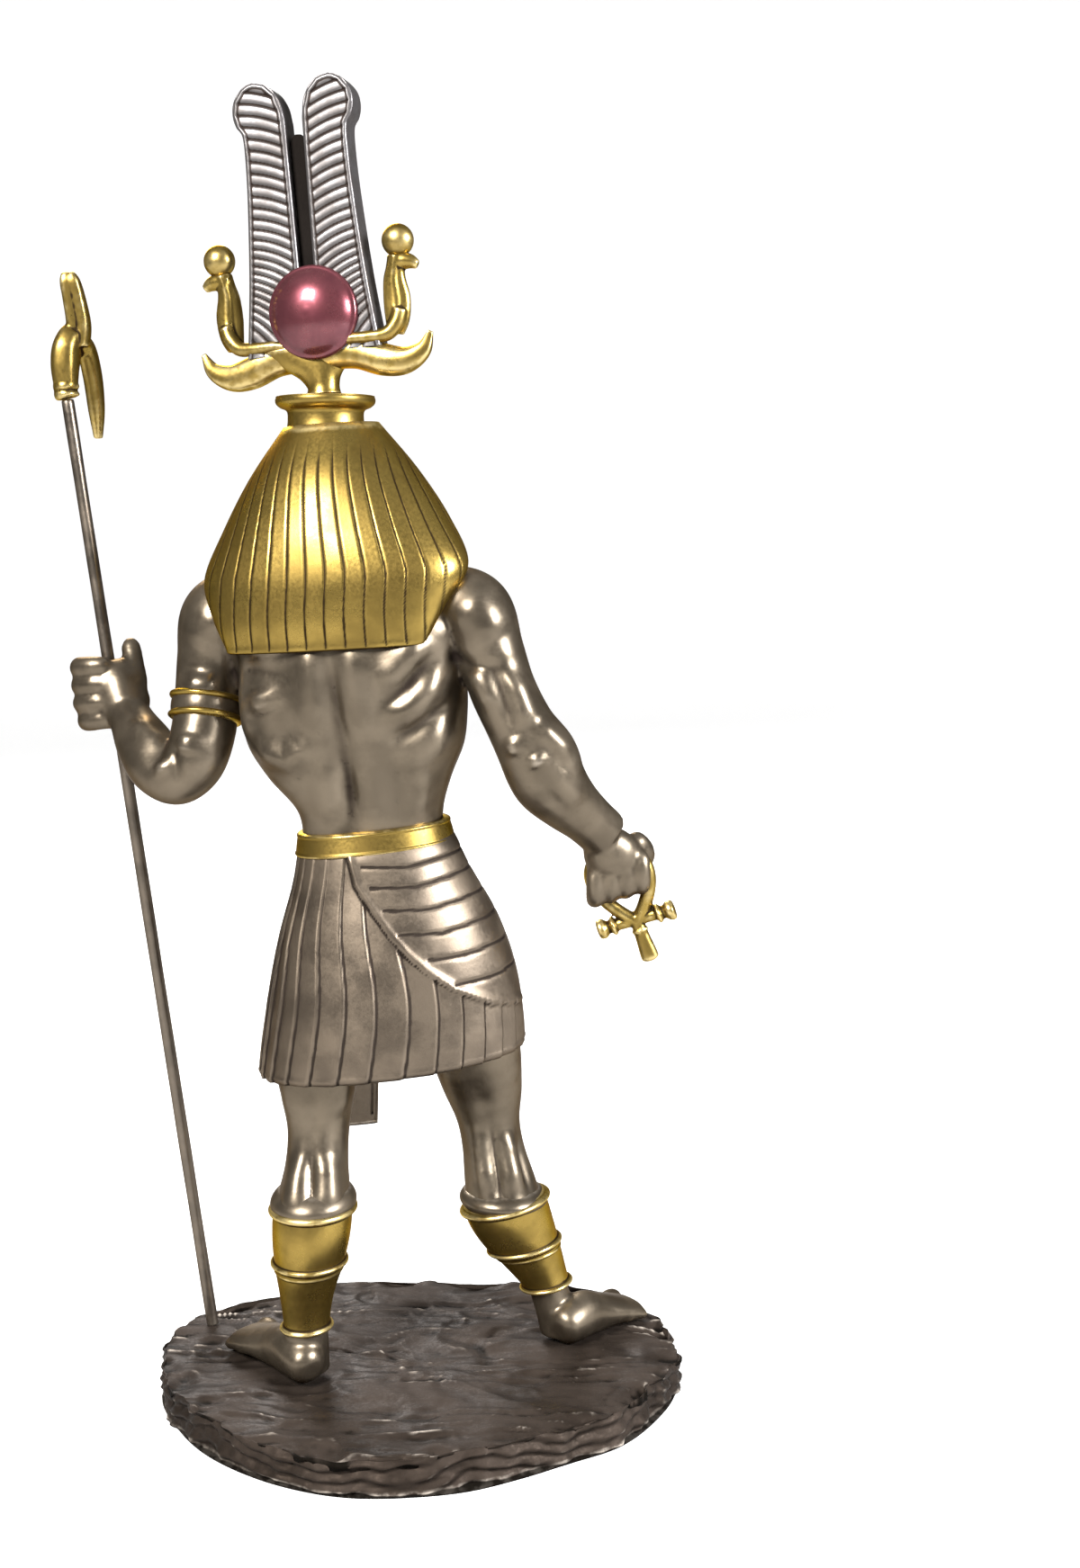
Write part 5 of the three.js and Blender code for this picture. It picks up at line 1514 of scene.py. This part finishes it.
    def sun_disc(self) -> tuple[Skin, Skin]:
        """Turns the domed disc and the thin ring that holds it, about an axis out of the back."""
        x, z, radius = self.disc
        dome = rounded([(0.4, 8.6), (3, 8.35), (5.6, 7.6), (8, 6.3), (9.6, 4.9), (radius - 0.3, 3.9),
                        (radius - 0.5, 0), (radius - 0.3, -3.9),
                        (9.6, -4.9), (8, -6.3), (5.6, -7.6), (3, -8.35), (0.4, -8.6)])
        turn = np.linspace(-math.pi / 2, math.pi / 2, 25)
        ring = np.stack([radius - 0.9 + 0.9 * np.cos(turn), 3.7 * np.sin(turn)], axis=1)

        def stand(flat: Array) -> Array:
            """Turns a lathe's axis out of the back and puts it on the crown."""
            return self.on(np.stack([x + flat[..., 0], flat[..., 2], z - flat[..., 1]], axis=-1))

        return lathe_skin(dome, 96, stand), lathe_skin(ring, 96, stand)

    def side(self, name: str, side: int) -> None:
        """Makes one side: the wavy horn, the cobra with its long tail on it, and the ball on its head."""
        middle = 1.2

        def put_on(rows: Sequence[Sequence[float]]) -> list[tuple[float, ...]]:
            """Counts the first number of each row outward from the crown's middle."""
            return [(middle + side * row[0], *row[1:]) for row in rows]

        def keeled(angle: Array, place: Array) -> Array:
            """Raises a soft keel along the back of the horn."""
            return 0.2 * bell(np.sin(angle) - 0.75, 0.22)

        def ribbed(angle: Array, place: Array) -> Array:
            """Raises a band along the hood and cuts a line beside it."""
            return 0.3 * bell(np.cos(angle) - 0.15, 0.3) - 0.2 * bell(np.cos(angle) + 0.35, 0.16)

        horn = self.limb(put_on([
            (-1, 0, 253.8, 3.2, 3), (5, 0, 254.6, 3.7, 3.2), (10.4, 0, 254.2, 3.8, 3.2),
            (16.4, 0, 252, 3.7, 3.1),
            (21.4, 0, 251.4, 3.1, 2.7), (25.8, 0, 253.4, 2, 1.9), (28, 0, 257.4, 0.6, 0.6),
        ]), 48, 110, keeled)
        tail = self.limb(put_on([
            (5, 3, 256.6, 0.9, 0.9), (9, 3.2, 257.2, 1.2, 1.2), (14, 2.6, 257.2, 1.5, 1.5),
            (18, 1.8, 257.6, 1.7, 1.7),
            (20.4, 1.2, 260, 1.8, 1.7), (21.4, 1, 263, 1.7, 1.5),
        ]), 32, 90)
        hood = self.limb(put_on([
            (19.6, 0.2, 257.6, 2, 1.6), (20.4, 0.2, 261, 2.9, 1.5), (20.6, 0, 265.4, 3.2, 1.5),
            (20.4, 0, 269.4, 2.7, 1.6),
            (20.8, 0, 272.4, 2.2, 1.8), (21.4, 0, 275, 2.2, 2),
        ]), 40, 90, ribbed)
        face = self.limb(put_on([
            (19.8, 0, 273.4, 1.8, 1.8), (22, 0, 273.8, 2.1, 2), (24.4, 0, 273.4, 1.7, 1.6),
            (26.2, 0, 272.4, 1, 0.9),
        ]), 32, 40)
        cobra = fused([tail, hood, face], 0.3, 2)
        ball = egg_skin(self.on(np.array((middle + side * 21.9, 0, 278.4))), (3.75, 3.3, 3.75),
                        math.radians(self.yaw), 48)
        put(f"{name}_horn", horn, GOLD_COAT, "crown", depth=0.05)
        put(f"{name}_cobra", cobra, GOLD_COAT, "crown", depth=0.05)
        put(f"{name}_cobra_ball", ball, GOLD_COAT, "crown")

    def stem(self) -> Skin:
        """Makes the stem that widens from the drum up to the plumes."""
        rows = [
            (0.2, 0, 245.6, 4, 3.8), (0.2, 0, 247.4, 3.8, 3.4), (0.5, 0, 250, 5.2, 3.4),
            (0.9, 0, 253.4, 9, 3.4),
            (1.2, 0, 257, 12, 3.2),
        ]
        return self.limb(rows, 64, 40)

    def dress(self) -> None:
        """Makes the whole crown."""
        disc, ring = self.sun_disc()
        put("crown_stem", self.stem(), GOLD_COAT, "crown")
        put("left_plume", self.plume(1), SILVER_COAT, "crown", depth=0.3, passes=3)
        put("right_plume", self.plume(-1), SILVER_COAT, "crown", depth=0.3, passes=3)
        put("plume_web", self.web(), WEB_SHADE_COAT, "crown")
        put("sun_disc", disc, RED_COAT, "crown")
        put("sun_disc_ring", ring, WALL_COAT, "crown")
        self.side("left", 1)
        self.side("right", -1)


# What it holds and stands on


@dataclass(frozen=True)
class Ankh:
    """The ankh in the right hand: a drop-shaped loop, a crossbar with collars and a stem."""

    junction: Point = (-54.7, -8, 118.5)
    across: Point = (-0.955, 0.1, 0.28)
    up: Point = (0.34, 0, 0.94)
    wire: float = 1.7

    def on(self, out: Array, rise: Array, face: Array | float = 0.0) -> Array:
        """Gives places in the ankh's leaning plane, and off it along its face."""
        first = np.array(self.across) / np.linalg.norm(self.across)
        second = np.array(self.up) / np.linalg.norm(self.up)
        third = np.cross(first, second)
        third /= np.linalg.norm(third)
        parts = np.broadcast_arrays(out, rise, face)
        return np.array(self.junction) + sum(part[..., None] * way for part,
                                             way in zip(parts, (first, second, third)))

    def loop(self) -> Skin:
        """Carries a round wire along the drop: x is 9.1 sin a |sin a/2|, the height 8.7 - 9.3 cos a."""
        turn = np.linspace(0, 2 * math.pi, 161)[:-1]
        path = np.stack([9.1 * np.sin(turn) * np.abs(np.sin(turn / 2)), 8.7 - 9.3 * np.cos(turn)], axis=1)
        along = np.roll(path, -1, axis=0) - np.roll(path, 1, axis=0)
        along /= np.maximum(np.linalg.norm(along, axis=1, keepdims=True), 1e-9)
        outward = np.stack([along[:, 1], -along[:, 0]], axis=1)
        angles = whole_turn(28)[None]
        place = path[:, None] + self.wire * np.cos(angles)[..., None] * outward[:, None]
        return hoop_skin(self.on(place[..., 0], place[..., 1], self.wire * np.sin(angles)))

    def crossbar(self) -> Skin:
        """Turns the crossbar with a collar and a flared end on either side."""
        half = [
            (1.5, 3.6), (1.55, 5), (2.3, 5.4), (2.35, 6), (1.6, 6.6), (1.7, 7.3), (2.45, 8.2), (2.45, 9.4),
            (1.8, 9.8), (0.3, 9.85),
        ]
        profile = rounded([(radius, -along) for radius, along in reversed(half)] + half, 5)
        return lathe_skin(profile, 48, lambda flat: self.on(flat[..., 2], flat[..., 0], flat[..., 1]))

    def stem(self) -> Skin:
        """Makes the stem, wider and flatter towards its end."""
        rows = (
            (1, 1.6, 1.6), (-2, 1.65, 1.6), (-2.8, 2.1, 2), (-3.6, 1.75, 1.65), (-9.4, 2.2, 1.8),
            (-10.4, 1.9, 1.6),
            (-10.9, 0.9, 0.8),
        )
        stations = tuple((*self.on(np.array(0.0), np.array(float(rise))), wide, deep, 0) for rise, wide,
                         deep in rows)
        return Loft(stations, Across.BACK, 0.85).skin(40, 60)

    def dress(self) -> None:
        """Melts loop, crossbar and stem into one."""
        put("hand_ankh", fused([self.loop(), self.crossbar(), self.stem()], 0.32, 2), GOLD_COAT, "ankh",
            depth=0.05)


@dataclass(frozen=True)
class Rock:
    """The rock that the figure walks on: a rough oval with broken ledges and a flat underside."""

    top: float = 9.0
    radii: tuple[float, ...] = (
        65.5, 61, 58, 55.5, 54, 53, 51.5, 51, 50.5, 52, 57, 60.5, 64.5, 66.5, 66, 63, 56, 50, 51, 53.5, 57,
        60, 66.5, 67,
    )

    def rim(self, angles: Array) -> Array:
        """Gives the radius of the rim at each angle, smooth around the whole turn."""
        wrapped = np.array(self.radii[-2:] + self.radii + self.radii[:3])[:, None]
        return smooth_rows(wrapped, angles / (2 * math.pi) * len(self.radii) + 2)[:, 0]

    def skin(self) -> Skin:
        """Works out the rock in rings.

        The rings climb the side wall and then close over the top. The wall is stepped into
        ledges by a rounded staircase of the height whose treads wander with the noise, and the
        top is nearly flat, with low flowing waves and a broken lip.
        """
        sides = detail(460)
        angles = whole_turn(sides)
        radius = self.rim(angles)
        wall, cap = 36, 56
        rise = np.concatenate([[0.0], np.linspace(0.04, 1, wall) ** 0.9, np.ones(cap)])
        scale = np.concatenate([[0.985, 0.99], np.ones(wall - 1), np.linspace(0.995, 0.02, cap) ** 0.8])
        x = scale[:, None] * radius[None] * np.cos(angles)[None]
        y = scale[:, None] * radius[None] * np.sin(angles)[None]
        z = np.broadcast_to(rise[:, None] * self.top, x.shape)
        spot = np.stack([x, y, z * 2.2], axis=-1).reshape(-1, 3)
        broad = grain(spot, 16, 1).reshape(x.shape)
        rough = grain(spot, 5, 2).reshape(x.shape)
        fine = grain(spot, 1.8, 3).reshape(x.shape)
        level = (z / self.top) * 3.2 + 0.9 * broad + 0.25 * rough
        tread = np.floor(level) + step(np.mod(level, 1), 0.25, 0.8)
        ledge = (tread - level) * 1.5
        on_wall = np.concatenate([[0, 0.2], np.ones(wall - 1), np.linspace(1, 0, cap) ** 6])[:, None]
        inward = on_wall * (-1.2 + 1.1 * ledge + 1.5 * broad + 1.1 * rough + 0.4 * fine)
        lip = step(scale, 0.86, 1.0)[:, None] * (rise[:, None] > 0.98)
        bends = spot + 5.0 * np.stack([grain(spot, 13, 8), grain(spot, 13, 9), np.zeros(len(spot))], axis=1)
        flow = 1 - 2 * np.abs(grain(bends, 12, 6).reshape(x.shape))
        crumbs = 1 - 2 * np.abs(grain(bends, 4.6, 7).reshape(x.shape))
        pits = step(grain(bends, 7, 10).reshape(x.shape), 0.25, 0.6)
        waves = 0.45 * broad + 0.5 * flow * np.abs(flow) + 0.4 * crumbs
        waves += -0.6 * pits + 0.2 * rough + 0.12 * fine - 0.3
        gaps = step(grain(spot, 9, 4).reshape(x.shape), -0.1, 0.6)
        chips = step(grain(spot, 3.4, 5).reshape(x.shape), 0, 0.5)
        drop = lip * (1.6 * gaps + 0.7 * chips)
        shrink = 1 + inward / np.maximum(scale[:, None] * radius[None], 8)
        height = z + (rise[:, None] > 0.98) * (waves - drop)
        skin = tube_skin(np.stack([x * shrink, y * shrink, np.maximum(height, 0)], axis=-1))
        # Painted shade: the lowest millimetre of the rock is marked dark where it meets the floor.
        skin.wash_and_shade = 0.8 * (skin.points[:, 2] < 1.0)
        return skin

    def dress(self) -> None:
        """Makes the rock."""
        put("rock", self.skin(), ROCK_COAT, "rock_base", depth=0.55, passes=6)


# The studio


@dataclass(frozen=True)
class Studio:
    """The pale floor, the soft lights and the camera."""

    place: Point = (-0.0315, 0.446, 0.2125)
    right: Point = (-0.999928, 0.00157699, -0.01189564)
    up: Point = (-0.01199971, -0.13140928, 0.99125557)
    forward: Point = (0.0, -0.99132695, -0.13141874)
    lens: float = 43.27

    def camera(self) -> None:
        """Sets the camera at the photograph's angle."""
        data = bpy.data.cameras.new("camera")
        data.lens = self.lens
        data.sensor_width = 36.0
        data.clip_start = 0.01
        camera = bpy.data.objects.new("camera", data)
        bpy.context.scene.collection.objects.link(camera)
        columns = Matrix((self.right, self.up, tuple(-value for value in self.forward))).transposed()
        camera.matrix_world = Matrix.Translation(self.place) @ columns.to_4x4()
        bpy.context.scene.camera = camera

    def floor(self) -> None:
        """Lays the floor, a wide pale disc that rounds up into a wall: a quarter circle turned about Z."""
        bend = np.linspace(0, math.pi / 2, 17)
        profile = np.concatenate([
            [[0.02, 0.0], [0.5, 0.0], [1.2, 0.0]],
            np.stack([1.6 + 0.9 * np.sin(bend), 0.9 - 0.9 * np.cos(bend)], axis=1),
            [[2.5, 2.6]],
        ])
        turn = whole_turn(96)
        radius, height = profile[:, :1], np.broadcast_to(profile[:, 1:], (len(profile), len(turn)))
        grid = np.stack([radius * np.cos(turn), radius * np.sin(turn), height], axis=-1)
        index = np.arange(grid.shape[0] * len(turn)).reshape(-1, len(turn))
        quads = band_quads(index[1:], index[:-1])
        mesh = bpy.data.meshes.new("floor")
        mesh.from_pydata(grid.reshape(-1, 3).tolist(), [], quads.tolist() + [index[0].tolist()])
        mesh.polygons.foreach_set("use_smooth", np.ones(len(mesh.polygons), dtype=bool))
        paint = bpy.data.materials.new("studio_floor")
        nodes = Nodes(paint)
        nodes.link(nodes.mix(nodes.noise(60), (0.42, 0.418, 0.414), (0.45, 0.448, 0.444)),
                   nodes.shader.inputs["Base Color"])
        nodes.shader.inputs["Roughness"].default_value = 0.8
        seen = nodes.tree.nodes.new("ShaderNodeLightPath").outputs["Is Camera Ray"]
        nodes.link(nodes.math("MULTIPLY", seen, 0.75), nodes.shader.inputs["Emission Strength"])
        nodes.shader.inputs["Emission Color"].default_value = (1.0, 1.0, 1.0, 1.0)
        mesh.materials.append(paint)
        floor = bpy.data.objects.new("floor", mesh)
        bpy.context.scene.collection.objects.link(floor)

    def light(self, name: str, place: Point, aim: Point, size: float, power: float, colour: Point) -> None:
        """Hangs one soft square light that looks at a place."""
        data = bpy.data.lights.new(name, "AREA")
        data.shape = "SQUARE"
        data.size = size
        data.energy = power
        data.color = colour
        lamp = bpy.data.objects.new(name, data)
        lamp.location = place
        lamp.rotation_euler = (Vector(aim) - Vector(place)).to_track_quat("-Z", "Y").to_euler()
        bpy.context.scene.collection.objects.link(lamp)

    def dress(self) -> None:
        """Sets up the camera, the floor, the lights and the pale surroundings."""
        self.camera()
        self.floor()
        aim = (0.0, 0.0, 0.15)
        self.light("key_light", (0.45, 0.7, 0.75), aim, 0.3, 27.0, (1.0, 0.98, 0.95))
        self.light("side_light", (-0.8, 0.4, 0.5), aim, 0.28, 24.0, (0.97, 0.98, 1.0))
        self.light("front_light", (0.3, -0.9, 0.8), aim, 0.5, 18.0, (1.0, 0.98, 0.96))
        world = bpy.data.worlds.new("studio_air")
        world.use_nodes = True
        world.node_tree.nodes["Background"].inputs["Color"].default_value = (0.85, 0.87, 0.9, 1.0)
        world.node_tree.nodes["Background"].inputs["Strength"].default_value = 0.42
        bpy.context.scene.world = world
        bpy.context.scene.view_settings.view_transform = "Standard"


def main() -> None:
    logging.basicConfig(level=logging.INFO, format="%(message)s")
    Studio().dress()
    Body().dress()
    for leg in LEGS:
        leg.dress()
    for part in (Kilt(), Armband(), Headcloth(), CrocodileHead(), Crown(), Staff(), Ankh(), Rock()):
        part.dress()


if __name__ == "__main__":
    main()
